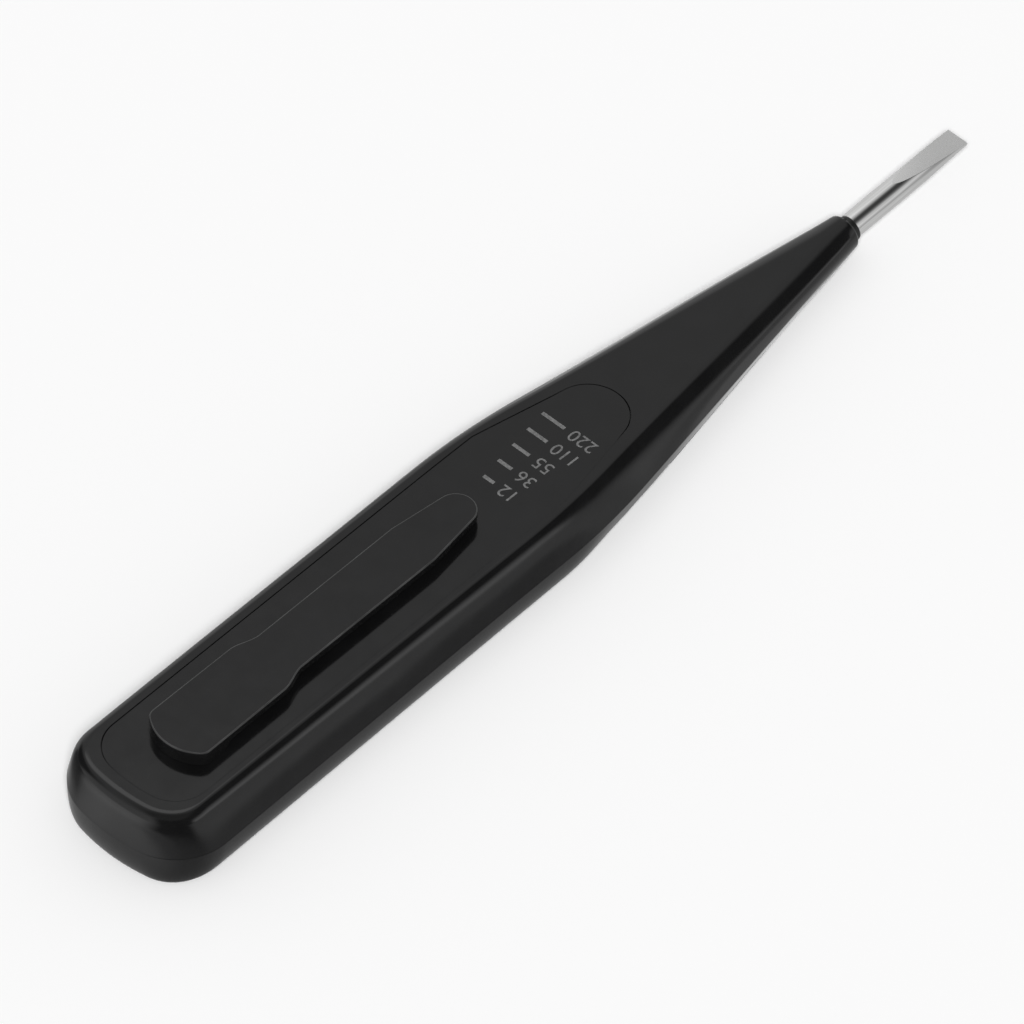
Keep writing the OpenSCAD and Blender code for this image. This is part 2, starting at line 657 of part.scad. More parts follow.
// Board and what is soldered to it
module circuit_board() {
    color([0.1, 0.35, 0.2]) placed() difference() {
        translate([0, 0, board_z]) linear_extrude(board_thickness) both_sides([
            [0, board_start], [board_width / 2, board_start], [board_width / 2, board_neck_y],
            [board_end_half, board_end], [0, board_end]]);
        for (y = seat_ys) translate([0, y, 0]) cylinder(r = peg_r + fit, h = back_z);
    }
}
chip_y = board_start + 29;
module controller_chip() {
    color([0.05, 0.05, 0.06]) placed() translate([0, chip_y, board_top]) {
        cylinder(r = 3, h = 0.4);
        translate([0, 0, 0.4]) cylinder(r1 = 3, r2 = 1.8, h = 0.4);
    }
}
resistor_r = 0.9;
resistor_length = 5;
lead_r = 0.25;
module safety_resistors() {
    color([0.75, 0.65, 0.5]) placed() for (x = [-2.6, 2.6])
        translate([x, board_start + 10, board_top + resistor_r]) rotate([-90, 0, 0]) {
            cylinder(r = resistor_r, h = resistor_length);
            translate([0, 0, -1]) cylinder(r = lead_r, h = resistor_length + 2);
            for (z = [-1 + lead_r, resistor_length + 1 - lead_r])
                translate([0, 0, z]) rotate([-90, 0, 0]) cylinder(r = lead_r, h = resistor_r);
        }
}
module chip_parts(spots, size) {
    for (p = spots)
        translate([p.x - size.x / 2, p.y - size.y / 2, board_top]) cube(size);
}
module chip_resistors() {
    color([0.12, 0.12, 0.13]) placed() chip_parts(
        [for (i = [0 : 5]) [i % 2 == 0 ? -3.6 : 3.6, chip_y + 5.5 + 2.2 * floor(i / 2)]], [1.6, 0.8, 0.5]);
}
module chip_capacitors() {
    color([0.6, 0.5, 0.35]) placed() chip_parts(
        [for (i = [0 : 3]) [i % 2 == 0 ? -4 : 4, chip_y - 3.4 + 3.4 * floor(i / 2)]], [0.9, 1.6, 0.8]);
}
module clamp_diodes() {
    color([0.15, 0.15, 0.15]) placed() chip_parts([[-2, board_start + 2], [2, board_start + 2]], [2.6, 1.6, 1]);
}
module key_pads() {
    color([0.8, 0.7, 0.4]) placed() for (y = [direct_y, induction_y])
        translate([0, y, spring_top]) cylinder(r = pad_r, h = pad_thickness);
}

// Keys: a face in the casing's opening and a flange inside
module key(y) {
    placed() translate([0, y, 0]) {
        translate([0, 0, key_recess]) round_plate(
            key_width, key_length, flange_z(y) - key_recess + flange_thickness / 2, key_corner - run_gap);
        translate([0, 0, flange_z(y)]) round_plate(
            key_width + 2 * key_flange, key_length + 2 * key_flange, flange_thickness, key_corner);
    }
}
module direct_key() { color([0.8, 0.8, 0.8]) key(direct_y); }
module induction_key() { color([0.8, 0.8, 0.8]) key(induction_y); }

key_turns = 3;
key_coil_top = 1.2;
key_coil_bottom = 2.2;
module key_spring(y) {
    from = spring_bottom(y) + key_wire / 2 + 0.01;
    to = spring_top - key_wire / 2 - 0.01;
    placed() wire([for (i = [0 : key_turns * turn_steps])
        let (t = i / turn_steps, s = t / key_turns, r = mix(key_coil_bottom, key_coil_top, s))
        [r * cos(360 * t), y + r * sin(360 * t), mix(from, to, s)]], key_wire / 2);
}
module direct_key_spring() { color([0.8, 0.8, 0.75]) key_spring(direct_y); }
module induction_key_spring() { color([0.8, 0.8, 0.75]) key_spring(induction_y); }

back_shell();
front_shell();
clip_plate();
clip_root();
clip_arm();
blade();
insulating_collar();
anchor_pin();
blade_spring();
blade_terminal();
display_lens();
lcd_glass();
lcd_holder();
zebra_strips();
circuit_board();
controller_chip();
safety_resistors();
chip_resistors();
chip_capacitors();
clamp_diodes();
key_pads();
direct_key();
induction_key();
direct_key_spring();
induction_key_spring();
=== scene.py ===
import math

import bpy
import numpy as np
from mathutils import Matrix, Vector
from mathutils.geometry import delaunay_2d_cdt


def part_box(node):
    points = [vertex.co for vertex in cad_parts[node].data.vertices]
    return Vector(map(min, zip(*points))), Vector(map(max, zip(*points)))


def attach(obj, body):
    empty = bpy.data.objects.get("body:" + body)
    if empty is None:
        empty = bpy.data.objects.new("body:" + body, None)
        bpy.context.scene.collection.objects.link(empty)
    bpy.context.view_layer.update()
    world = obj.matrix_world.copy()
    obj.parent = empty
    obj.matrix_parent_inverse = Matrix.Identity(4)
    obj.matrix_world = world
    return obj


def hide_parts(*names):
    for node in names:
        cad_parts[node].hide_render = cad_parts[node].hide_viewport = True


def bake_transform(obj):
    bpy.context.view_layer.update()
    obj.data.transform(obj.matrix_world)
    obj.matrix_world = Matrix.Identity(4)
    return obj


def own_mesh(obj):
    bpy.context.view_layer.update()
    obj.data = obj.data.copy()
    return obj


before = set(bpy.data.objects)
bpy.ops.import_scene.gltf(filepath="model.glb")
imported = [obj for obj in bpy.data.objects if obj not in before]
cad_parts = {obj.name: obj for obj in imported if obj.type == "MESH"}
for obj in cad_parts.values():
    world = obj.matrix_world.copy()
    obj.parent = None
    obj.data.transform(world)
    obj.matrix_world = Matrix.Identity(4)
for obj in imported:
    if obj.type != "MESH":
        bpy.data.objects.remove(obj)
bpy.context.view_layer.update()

# Sizes in millimetres, y counted from the butt, as in the part's source
LENGTH, REACH, TAPER = 121.2, 18.9, 50.9
TOTAL = LENGTH + REACH
SHOULDER = LENGTH - TAPER
BODY_HALF, FRONT_DEPTH, BACK_TOP = 10.7, 5.1, 10.65
NOSE_R, NOSE_ROUND, AXIS_Z = 2.2, 0.45, 3.3
NOSE_Y = LENGTH - NOSE_ROUND
ROUND = 7.5  # half length of the bends at the shoulder
# From the shoulder back to the other bends, and from the nose back to the end of the flat
PARTING_SETBACK, FLAT_SETBACK, BACK_SETBACK, FLAT_END = 12.9, 4, 6, 3
FLAT_HALF, SOLE_HALF, TINY = 7.7, 8.1, 0.12
SLOPE = math.radians(1.3)
PLATE_HALF, PLATE_START, PLATE_SHOULDER = 7.0, 3.75, 66.8
PLATE_TAPER, PLATE_ROUND = math.radians(11.2), 4.58
SEAT_GAP, RECESS, PLATE_THICK = 0.055, 0.04, 1.1
# Butt ends of the outlines: half width, start, radius of the crown and of the corners
PARTING_BUTT, RIM_BUTT = (BODY_HALF, 0, 25.3, 7.7), (FLAT_HALF, 2.5, 26, 4.6)
SOLE_BUTT, BUTT_STEPS = (SOLE_HALF, 1.35, 25.3, 3.4), (14, 26)
CLIP_START, CLIP_LENGTH, CLIP_HEIGHT, ARM_THICK, ARM_FALL = 9.35, 49.5, 2.0, 1.1, math.radians(0.1)
LENS_START, LENS_END, LENS_LOW, LENS_TOP = 84.3, 104.3, 0.05, 0.95
OVERHANG = {LENS_START: 1.1, LENS_END: 0.85}
KEYS = {"direct_touch_key": 64.2, "induction_touch_key": 75.7}
KEY_WIDTH, KEY_LENGTH, KEY_FLANGE, FLANGE_THICK, KEY_TRAVEL = 9, 7, 0.9, 0.5, 0.5
FRONT_WALL, FIT, SHAFT_R, NOSE_BORE = 1.4, 0.05, 1.5, 1.1
MIRROR, DOWN = np.array([-1, 1, 1]), np.array([0, 0, -1])


# Curves of the casing
def ramp(d):
    """Zero, then a rise of slope 1, with a round bend between them."""
    bend = (d + ROUND) ** 2 / (4 * ROUND)
    return np.where(d < -ROUND, 0, np.where(d > ROUND, d, bend))


def mix(a, b, t):
    return a + (b - a) * t


def ease(t):
    c = np.clip(t, 0, 1)
    return c * c * (3 - 2 * c)


def tapered(y, handle, nose, start):
    return handle - (handle - nose) * ramp(y - start) / (NOSE_Y - start)


def parting_half(y):
    return tapered(y, BODY_HALF, NOSE_R, SHOULDER)


def parting_z(y):
    return tapered(y, FRONT_DEPTH, AXIS_Z, SHOULDER - PARTING_SETBACK)


def flat_half(y):
    s = SHOULDER - FLAT_SETBACK
    return np.maximum(TINY, FLAT_HALF - (FLAT_HALF - TINY) * ramp(y - s) / (NOSE_Y - FLAT_END - s))


def back_z(y):
    s = SHOULDER - BACK_SETBACK
    end = BACK_TOP - math.tan(SLOPE) * NOSE_Y
    return BACK_TOP - math.tan(SLOPE) * y - (end - AXIS_Z - NOSE_R) * ramp(y - s) / (NOSE_Y - s)


def sole_half(y):
    return tapered(y, SOLE_HALF, TINY, SHOULDER)


def sole_z(y):
    return tapered(y, 0, AXIS_Z - NOSE_R, SHOULDER)


def butt(half, start, crown, corner, n_crown, n_corner):
    """Right half of an outline's crowned end with a round corner."""
    cx = half - corner
    first = math.asin(cx / (crown - corner))
    cy = start + crown - math.sqrt((crown - corner) ** 2 - cx * cx)
    a = np.linspace(0, first, n_crown + 1)
    b = np.linspace(first, math.pi / 2, n_corner + 1)[1:]
    return np.concatenate([np.stack([crown * np.sin(a), start + crown * (1 - np.cos(a))], 1),
                           np.stack([cx + corner * np.sin(b), cy - corner * np.cos(b)], 1)])


def toward_nose(y):
    start = SHOULDER + 6
    return ease((y - start) / (NOSE_Y - start))


def curve(base, rim, lean, rise, reach, t):
    """Points and slopes of the wall curves from base to rim; t is rows by columns."""
    side = (base - rim) * [1, 1, 0]
    corner = rim + side * lean[:, None]
    p1 = base + (corner - base) * rise[:, None]
    p2 = rim + side * reach[:, None]
    t = t[..., None]
    u = 1 - t
    points = base * u ** 3 + p1 * 3 * u * u * t + p2 * 3 * u * t * t + rim * t ** 3
    slopes = (p1 - base) * u * u + (p2 - p1) * 2 * u * t + (rim - p2) * t * t
    return points, slopes


CIRCLE = 0.552  # pull at which a curve follows a quarter circle
BACK_RISE, BACK_REACH, FRONT_RISE = 0.76, 0.93, 0.81
# Where the back half's edge starts to be rounder, toward the butt, and how much
SOFT_Y, SOFT_LENGTH, SOFT_LEAN, SOFT_REACH = 7.3, 4, 2.02, 0.45


def back_curve(base, rim, t):
    wide = np.maximum(0.01, np.linalg.norm((base - rim)[:, :2], axis=1))
    soft = ease((SOFT_Y - rim[:, 1]) / SOFT_LENGTH)
    side_edge = mix(1.1, 0.95, ease((rim[:, 1] - 15) / 40))
    edge = np.minimum(1, (side_edge + soft * np.maximum(0, wide - SOFT_LEAN)) / wide)
    s = toward_nose(base[:, 1])
    reach = mix(edge * BACK_REACH + soft * SOFT_REACH / wide, CIRCLE, s)
    return curve(base, rim, mix(edge, 1, s), mix(BACK_RISE, CIRCLE, s), reach, t)


def front_curve(base, sole, t):
    """The wall is full along the handle, and drawn in between the shoulder and the nose."""
    y = base[:, 1]
    drawn_in = 0.52 - 0.12 * ease((y - 76) / 6)
    lean = 1 - drawn_in * ease((y - SHOULDER + 6) / 9) * (1 - ease((y - NOSE_Y + 15) / 13))
    return curve(base, sole, lean, mix(FRONT_RISE, CIRCLE, toward_nose(y)), np.full(len(y), CIRCLE), t)


# Mesh building
def unit(v):
    return v / np.maximum(1e-12, np.linalg.norm(v, axis=-1, keepdims=True))


def mirrored(half):
    """The whole outline from its right half: from the left end round to the right end."""
    return np.concatenate([half[:0:-1] * MIRROR, half])


def closed_loop(half):
    """A closed outline from a right half that starts and ends on the middle line."""
    return np.concatenate([half, half[-2:0:-1] * [-1, 1]])


def outward(loop):
    """Unit normals in the plane of a closed outline that runs anticlockwise."""
    t = np.roll(loop, -1, 0) - np.roll(loop, 1, 0)
    return unit(np.stack([t[:, 1], -t[:, 0]], 1))


def lift(xy, z):
    return np.column_stack([xy, np.broadcast_to(z, len(xy))])


def quads(rows, cols, closed):
    """Faces of a grid of points."""
    return [(j * cols + i, j * cols + (i + 1) % cols, (j + 1) * cols + (i + 1) % cols, (j + 1) * cols + i)
            for j in range(rows - 1) for i in range(cols if closed else cols - 1)]


def rounding(steps):
    """Steps over a round edge: how far back from the side, how far from the face, and the weights of both."""
    for a in np.linspace(0, math.pi / 2, steps):
        yield 1 - math.sin(a), 1 - math.cos(a), math.cos(a), math.sin(a)


class Shape:
    """Patches with their own normals; a face turns to the side that its normals point to."""

    def __init__(self):
        self.points, self.normals, self.faces, self.marks, self.count = [], [], [], [], 0

    def add(self, points, normals):
        points = np.asarray(points, float).reshape(-1, 3)
        self.points.append(points)
        self.normals.append(unit(np.broadcast_to(np.asarray(normals, float), points.shape)))
        self.count += len(points)
        return self.count - len(points)

    def face(self, indices, mark=0):
        self.faces.append(tuple(indices))
        self.marks.append(mark)

    def grid(self, points, normals, closed=False, mark=0):
        rows, cols = points.shape[:2]
        first = self.add(points, np.asarray(normals).reshape(-1, 3))
        for f in quads(rows, cols, closed):
            self.face((first + i for i in f), mark)
        return first

    def rows(self, loops, normals, closed=True, mark=0):
        spread = [np.broadcast_to(n, loops[0].shape) for n in normals]
        return self.grid(np.stack(loops), np.stack(spread), closed, mark)

    def strip(self, right, normals, mark=0):
        """Flat bands across, between right points and their mirror images."""
        normals = np.broadcast_to(np.asarray(normals, float), right.shape)
        pair = np.stack([right * MIRROR, right], 1)
        return self.grid(pair, np.stack([normals * MIRROR, normals], 1), mark=mark)

    def fill(self, outer, holes, height, normal, mark=0):
        """A sheet inside an outline and round its holes; height and normal are functions of y."""
        loops = [outer, *holes]
        flat = np.concatenate([loop[:, :2] for loop in loops])
        edges, first = [], 0
        for loop in loops:
            n = len(loop)
            edges += [(first + i, first + (i + 1) % n) for i in range(n)]
            first += n
        made = delaunay_2d_cdt([Vector(p) for p in flat], edges, [], 0, 1e-7)
        xy = np.array([tuple(v) for v in made[0]])
        triangles = np.array(made[2])
        middle = xy[triangles].mean(1)
        keep = inside(middle, loops[0])
        for hole in loops[1:]:
            keep &= ~inside(middle, hole)
        at = self.add(np.column_stack([xy, height(xy[:, 1])]), normal(xy[:, 1]))
        for tri in triangles[keep]:
            self.face(at + tri, mark)


def level_at(z):
    """Height of a level sheet, for Shape.fill."""
    return lambda y: np.full_like(y, z)


def all_facing(up):
    """Normals of a level sheet, for Shape.fill."""
    return lambda y: np.tile([0, 0, float(up)], (len(y), 1))


def inside(points, loop):
    """Which points lie inside a closed outline."""
    a, b = loop[:, :2], np.roll(loop[:, :2], -1, 0)
    x, y = points[:, 0, None], points[:, 1, None]
    cross = (a[:, 1] > y) != (b[:, 1] > y)
    with np.errstate(divide="ignore", invalid="ignore"):
        at = a[:, 0] + (y - a[:, 1]) / (b[:, 1] - a[:, 1]) * (b[:, 0] - a[:, 0])
    return (cross & (x < at)).sum(1) % 2 == 1


def wall_normals(points, slopes):
    """Normals of the casing's walls, turned away from its middle line."""
    along = np.gradient(points, axis=1)
    n = np.cross(along, slopes)
    away = points - np.stack([np.zeros(points.shape[:2]), np.clip(points[..., 1], 12, 119),
                              np.full(points.shape[:2], 4.0)], -1)
    return unit(n * np.where((n * away).sum(-1, keepdims=True) < 0, -1, 1))


def metres(p):
    """Millimetres from the butt to metres in the frame."""
    return (np.asarray(p, float) - [0, TOTAL / 2, 0]) / 1000


def linked(name, data):
    """A new object in the scene."""
    obj = bpy.data.objects.new(name, data)
    bpy.context.scene.collection.objects.link(obj)
    return obj


def piece(name, shape, materials, body, nodes, blend=None):
    points, normals = np.concatenate(shape.points), np.concatenate(shape.normals)
    faces = []
    for f in shape.faces:
        p = points[list(f)]
        area = np.cross(p[1] - p[0], p[2] - p[0])
        if len(f) > 3:
            area = area + np.cross(p[2] - p[0], p[3] - p[0])
        faces.append(tuple(int(i) for i in (f if area @ normals[list(f)].sum(0) >= 0 else f[::-1])))
    mesh = bpy.data.meshes.new(name)
    mesh.from_pydata(metres(points).tolist(), [], faces)
    for m in materials:
        mesh.materials.append(m)
    mesh.polygons.foreach_set("use_smooth", np.ones(len(faces), bool))
    mesh.polygons.foreach_set("material_index", np.array(shape.marks, np.int32))
    mesh.normals_split_custom_set_from_vertices(normals.tolist())
    obj = linked(name, mesh)
    if blend:
        tuple(metres(blend[1]))
        tuple(metres(blend[2]))
        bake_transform(obj)
    else:
        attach(obj, body)
    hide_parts(*nodes)
    return obj


# Materials
def material(name, **values):
    m = bpy.data.materials.new(name)
    m.use_nodes = True
    shader = m.node_tree.nodes["Principled BSDF"]
    for key, value in values.items():
        shader.inputs[key.replace("_", " ")].default_value = value
    return m, m.node_tree, shader


def node(tree, kind, links=(), **values):
    n = tree.nodes.new(kind)
    for key, value in values.items():
        if hasattr(n, key):
            setattr(n, key, value)
        else:
            n.inputs[key.replace("_", " ")].default_value = value
    for socket, source in dict(links).items():
        tree.links.new(source, n.inputs[socket])
    return n


def grain(tree, scale, stretch=(1, 1, 1), detail=3, roughness=0.55):
    """Noise in the part's own coordinates; scale counts features per metre."""
    at = node(tree, "ShaderNodeTexCoord").outputs["Object"]
    spread = node(tree, "ShaderNodeMapping", {"Vector": at})
    spread.inputs["Scale"].default_value = stretch
    return node(tree, "ShaderNodeTexNoise", {"Vector": spread.outputs["Vector"]}, Scale=scale, Detail=detail,
                Roughness=roughness).outputs["Fac"]


def between(tree, source, low, high, start=0.3, stop=0.7):
    return node(tree, "ShaderNodeMapRange", {"Value": source}, From_Min=start, From_Max=stop,
                To_Min=low, To_Max=high).outputs["Result"]


def shades(tree, source, dark, light):
    ramp_node = node(tree, "ShaderNodeValToRGB", {"Fac": source})
    low, high = ramp_node.color_ramp.elements
    low.position, high.position = 0.3, 0.7
    low.color, high.color = (*dark, 1), (*light, 1)
    return ramp_node.outputs["Color"]


def bumped(tree, shader, source, strength, distance):
    bump = node(tree, "ShaderNodeBump", {"Height": source}, Strength=strength, Distance=distance)
    tree.links.new(bump.outputs["Normal"], shader.inputs["Normal"])


FINE = 0.00001  # height of fine bumps, in metres


def moulded(name, dark, light, rough, peel, scuff, ior=1.5):
    """Moulded plastic: uneven gloss, a fine peel and a few dull scuffs along the handle."""
    m, tree, shader = material(name, IOR=ior)
    tree.links.new(shades(tree, grain(tree, 260, detail=5), dark, light), shader.inputs["Base Color"])
    gloss = between(tree, grain(tree, 420, detail=4), rough - 0.025, rough + 0.025)
    marks = between(tree, grain(tree, 300, (2.2, 0.35, 2.2), detail=6, roughness=0.7), 0, scuff, 0.64, 0.74)
    both = node(tree, "ShaderNodeMath", {0: gloss, 1: marks}, operation="ADD").outputs[0]
    tree.links.new(both, shader.inputs["Roughness"])
    bumped(tree, shader, grain(tree, 2600, detail=2), peel, FINE)
    return m


def metal(name, dark, light, rough, spread, stretch, scale=900, depth=0.12):
    """Metal with fine lines: stretch is small along the lines."""
    m, tree, shader = material(name, Metallic=1.0)
    lines = grain(tree, scale, stretch, detail=6, roughness=0.65)
    tree.links.new(shades(tree, lines, dark, light), shader.inputs["Base Color"])
    tree.links.new(between(tree, lines, rough - spread, rough + spread), shader.inputs["Roughness"])
    bumped(tree, shader, lines, depth, 0.000006)
    return m


def matter(name, dark, light, rough, scale, peel=0.2, **values):
    """Plastic, rubber, ceramic and the like: mottled, with a fine peel."""
    m, tree, shader = material(name, **values)
    tree.links.new(shades(tree, grain(tree, scale, detail=4), dark, light), shader.inputs["Base Color"])
    gloss = between(tree, grain(tree, scale * 1.7), rough * 0.85, rough * 1.15)
    tree.links.new(gloss, shader.inputs["Roughness"])
    bumped(tree, shader, grain(tree, scale * 4), peel, FINE)
    return m


black = moulded("black_casing", (0.0040, 0.0040, 0.0041), (0.0058, 0.0058, 0.0060), 0.115, 0.05, 0.08)
black_front = moulded("black_casing_front", (0.0042, 0.0042, 0.0043), (0.0062, 0.0062, 0.0064),
                      0.13, 0.06, 0.08)
black_clip = moulded("black_clip", (0.0066, 0.0066, 0.0067), (0.0086, 0.0086, 0.0088), 0.11, 0.04, 0.08, 1.46)
# The clip's top edge is lighter and duller: a painted highlight line along the edge, partly wear
clip_edge_highlight_and_wear = moulded("black_clip_edge_highlight_and_wear", (0.022, 0.022, 0.022), (0.052, 0.052, 0.052), 0.26, 0.10, 0.08)
sleeve = matter("black_sleeve", (0.004, 0.004, 0.004), (0.009, 0.009, 0.009), 0.42, 1500, IOR=1.5)
lens_border = matter("lens_border", (0.008, 0.008, 0.0085), (0.013, 0.013, 0.0135), 0.09, 800, 0.03, IOR=1.49)
steel = metal("drawn_steel", (0.66, 0.66, 0.655), (0.90, 0.90, 0.895), 0.14, 0.05, (3, 0.05, 3), depth=0.08)
ground = metal("ground_steel", (0.69, 0.69, 0.685), (0.79, 0.79, 0.785), 0.28, 0.04, (1, 0.8, 1), 6500, 0.2)
# Dark metal for a painted dark reflection line along the blade's right edge
painted_edge_line = metal("dark_painted_edge_line", (0.30, 0.30, 0.30), (0.44, 0.44, 0.44), 0.35, 0.05, (1, 0.3, 1), 3000)
spring_steel = metal("spring_steel", (0.55, 0.54, 0.52), (0.65, 0.64, 0.62), 0.25, 0.05, (1, 1, 1))
key_metal = metal("key_metal", (0.60, 0.59, 0.57), (0.70, 0.69, 0.67), 0.28, 0.06, (0.12, 3, 1), 1100, 0.2)


# Casing: back half
SIDE_YS = np.concatenate([np.linspace(9.5, 50, 20), np.linspace(51, 88, 56), np.linspace(89.5, NOSE_Y, 30)])
NOSE_A = np.linspace(0, math.pi / 2, 9)[1:]


def nose_line(turn):
    """A line along the rounded nose: turn 0 is its right side, 1 its top and -1 its underside."""
    r, y = NOSE_R - NOSE_ROUND * (1 - np.cos(NOSE_A)), NOSE_Y + NOSE_ROUND * np.sin(NOSE_A)
    x = np.full_like(y, TINY) if turn else r
    return np.column_stack([x, y, AXIS_Z + turn * r])


def along_sides(end, half, height, ys):
    """Right half of a line round the casing: the butt's outline, then the side."""
    outline = butt(*end, *BUTT_STEPS)
    return np.concatenate([np.column_stack([outline, height(outline[:, 1])]),
                           np.column_stack([half(ys), ys, height(ys)])])


def slanted(height, y, up):
    """Normals of a face of that height over y, turned up or down."""
    y, step = np.asarray(y, float), 0.01
    slope = (height(y + step) - height(y - step)) / (2 * step)
    return unit(np.stack([np.zeros_like(y), -up * slope, up * np.ones_like(y)], -1))


def up_normal(y):
    """Normal of the back face and of the plate let into it."""
    return slanted(back_z, y, 1)


def down_normal(y):
    return slanted(sole_z, y, -1)


def plate_loop(grow):
    """Outline of the clip plate and of its seat, anticlockwise, from the butt's middle."""
    yr = PLATE_SHOULDER + (PLATE_HALF * math.cos(PLATE_TAPER) - PLATE_ROUND) / math.sin(PLATE_TAPER)
    a = np.linspace(PLATE_TAPER, math.pi / 2, 29)
    arc = (PLATE_ROUND + grow) * np.stack([np.cos(a), np.sin(a)], 1) + [0, yr]
    side_y = np.concatenate([np.linspace(9, 50, 24), np.linspace(51, PLATE_SHOULDER, 26)])
    side = np.column_stack([np.full_like(side_y, PLATE_HALF + grow), side_y])
    lean = side[-1] + (arc[0] - side[-1]) * np.linspace(0, 1, 20)[1:-1, None]
    crown, corner, steps = 22, 4.6, (14, 18)
    start = butt(PLATE_HALF + grow, PLATE_START - grow, crown, corner, *steps)
    return closed_loop(np.concatenate([start, side, lean, arc]))


EDGE = 0.025         # rounding of the plate and of its seat
PARTING_LIP = 0.035  # chamfer of the front half at the parting line
LEDGE = 0.9          # width of the ledge inside the parting line
SEAT_DEPTH = RECESS + PLATE_THICK + FIT


def parting_edge(shape, edge, first_row, facing):
    """The edge at the parting line, with a ledge inside it; the front half's edge is chamfered."""
    middle = np.stack([np.zeros(len(edge)), np.clip(edge[:, 1], 14, 110), edge[:, 2]], 1)
    inward = unit((middle - edge) * [1, 1, 0])
    inner = edge + inward * PARTING_LIP if facing > 0 else edge
    if facing > 0:
        slant = unit([0, 0, 1] - inward)
        shape.rows([first_row, inner], [slant, slant], closed=False)
    shape.rows([inner, inner + inward * LEDGE], [[0, 0, facing]] * 2, closed=False)


def nose_end(shape, ring_end):
    """The ring-shaped face of the nose round the collar."""
    rim = np.concatenate([ring_end[:, -1], ring_end[::-1, 0]])
    axis = np.array([0, LENGTH, AXIS_Z])
    inner = axis + unit(rim - axis) * NOSE_BORE
    shape.rows([rim, inner], [[0, 1, 0]] * 2, closed=False)


def casing_back():
    base = along_sides(PARTING_BUTT, parting_half, parting_z, SIDE_YS)
    rim = along_sides(RIM_BUTT, flat_half, back_z, SIDE_YS)
    base = mirrored(np.concatenate([base, nose_line(0)]))
    rim = mirrored(np.concatenate([rim, nose_line(1)]))
    s = np.linspace(0, 1, 31)
    points, slopes = back_curve(base, rim, np.repeat(s[:, None], len(base), 1))
    normals = wall_normals(points, slopes)
    flat = np.abs(rim[:, 0]) > TINY * 1.5
    normals[-1, flat] = up_normal(rim[flat, 1])
    shape = Shape()
    shape.grid(points, normals)
    parting_edge(shape, base, points[0], -1)
    nose_end(shape, points)
    heights = dict(zip(np.round(rim[:, 1], 6), rim[:, 2]))
    seat = plate_loop(SEAT_GAP + EDGE)

    def height(ys):
        return np.array([heights.get(round(y, 6), back_z(y)) for y in ys], float)
    shape.fill(rim, [seat], height, up_normal)
    edge, n = [], []
    side = outward(seat)
    for off, drop, face, turn in rounding(5):
        loop = plate_loop(SEAT_GAP + EDGE * off)
        edge.append(lift(loop, back_z(loop[:, 1]) - EDGE * drop))
        n.append(unit(up_normal(loop[:, 1]) * face - lift(side, 0) * turn))
    shape.rows(edge, n)
    wall = plate_loop(SEAT_GAP)
    floor = plate_loop(-1.0)
    deep = lift(wall, back_z(wall[:, 1]) - SEAT_DEPTH)
    shape.rows([edge[-1], deep], [-lift(side, 0)] * 2)
    shape.rows([deep, lift(floor, back_z(floor[:, 1]) - SEAT_DEPTH)], [[0, 0, 1]] * 2)
    piece("casing_back", shape, [black], "housing", ["back_shell"])


# Casing: front half, with a pocket for the lens, a window and the key openings
POCKET_Y0, POCKET_Y1, POCKET_Z = LENS_START - FIT, LENS_END + FIT, LENS_TOP + FIT
WINDOW_X, WINDOW_Y0, WINDOW_Y1, WINDOW_Z = 2.2, 86.5, 98.3, 2.05
KEY_GAP, HOLE_ROUND, HOLE_CORNER, HOLE_TOP = 0.3, 0.08, 1.5, 1.5


def round_rect(width, length, corner, y, n=8):
    """Outline of a rectangle with round corners, anticlockwise."""
    a = np.linspace(0, math.pi / 2, n + 1)
    out = []
    for k, (sx, sy) in enumerate([(1, -1), (1, 1), (-1, 1), (-1, -1)]):
        c = np.array([sx * (width / 2 - corner), y + sy * (length / 2 - corner)])
        turn = a + (k - 1) * math.pi / 2
        out.append(c + corner * np.stack([np.cos(turn), np.sin(turn)], 1))
    return np.concatenate(out)


def key_hole(y, grow):
    """Outline of the opening for a key, larger by grow all round."""
    return round_rect(KEY_WIDTH + KEY_GAP + 2 * grow, KEY_LENGTH + KEY_GAP + 2 * grow, HOLE_CORNER + grow, y)


def section(ys, t):
    """Right wall of the front half at some stations, as rows of t by stations."""
    base = np.column_stack([parting_half(ys), ys, parting_z(ys)])
    sole = np.column_stack([sole_half(ys), ys, sole_z(ys)])
    return front_curve(base, sole, t)


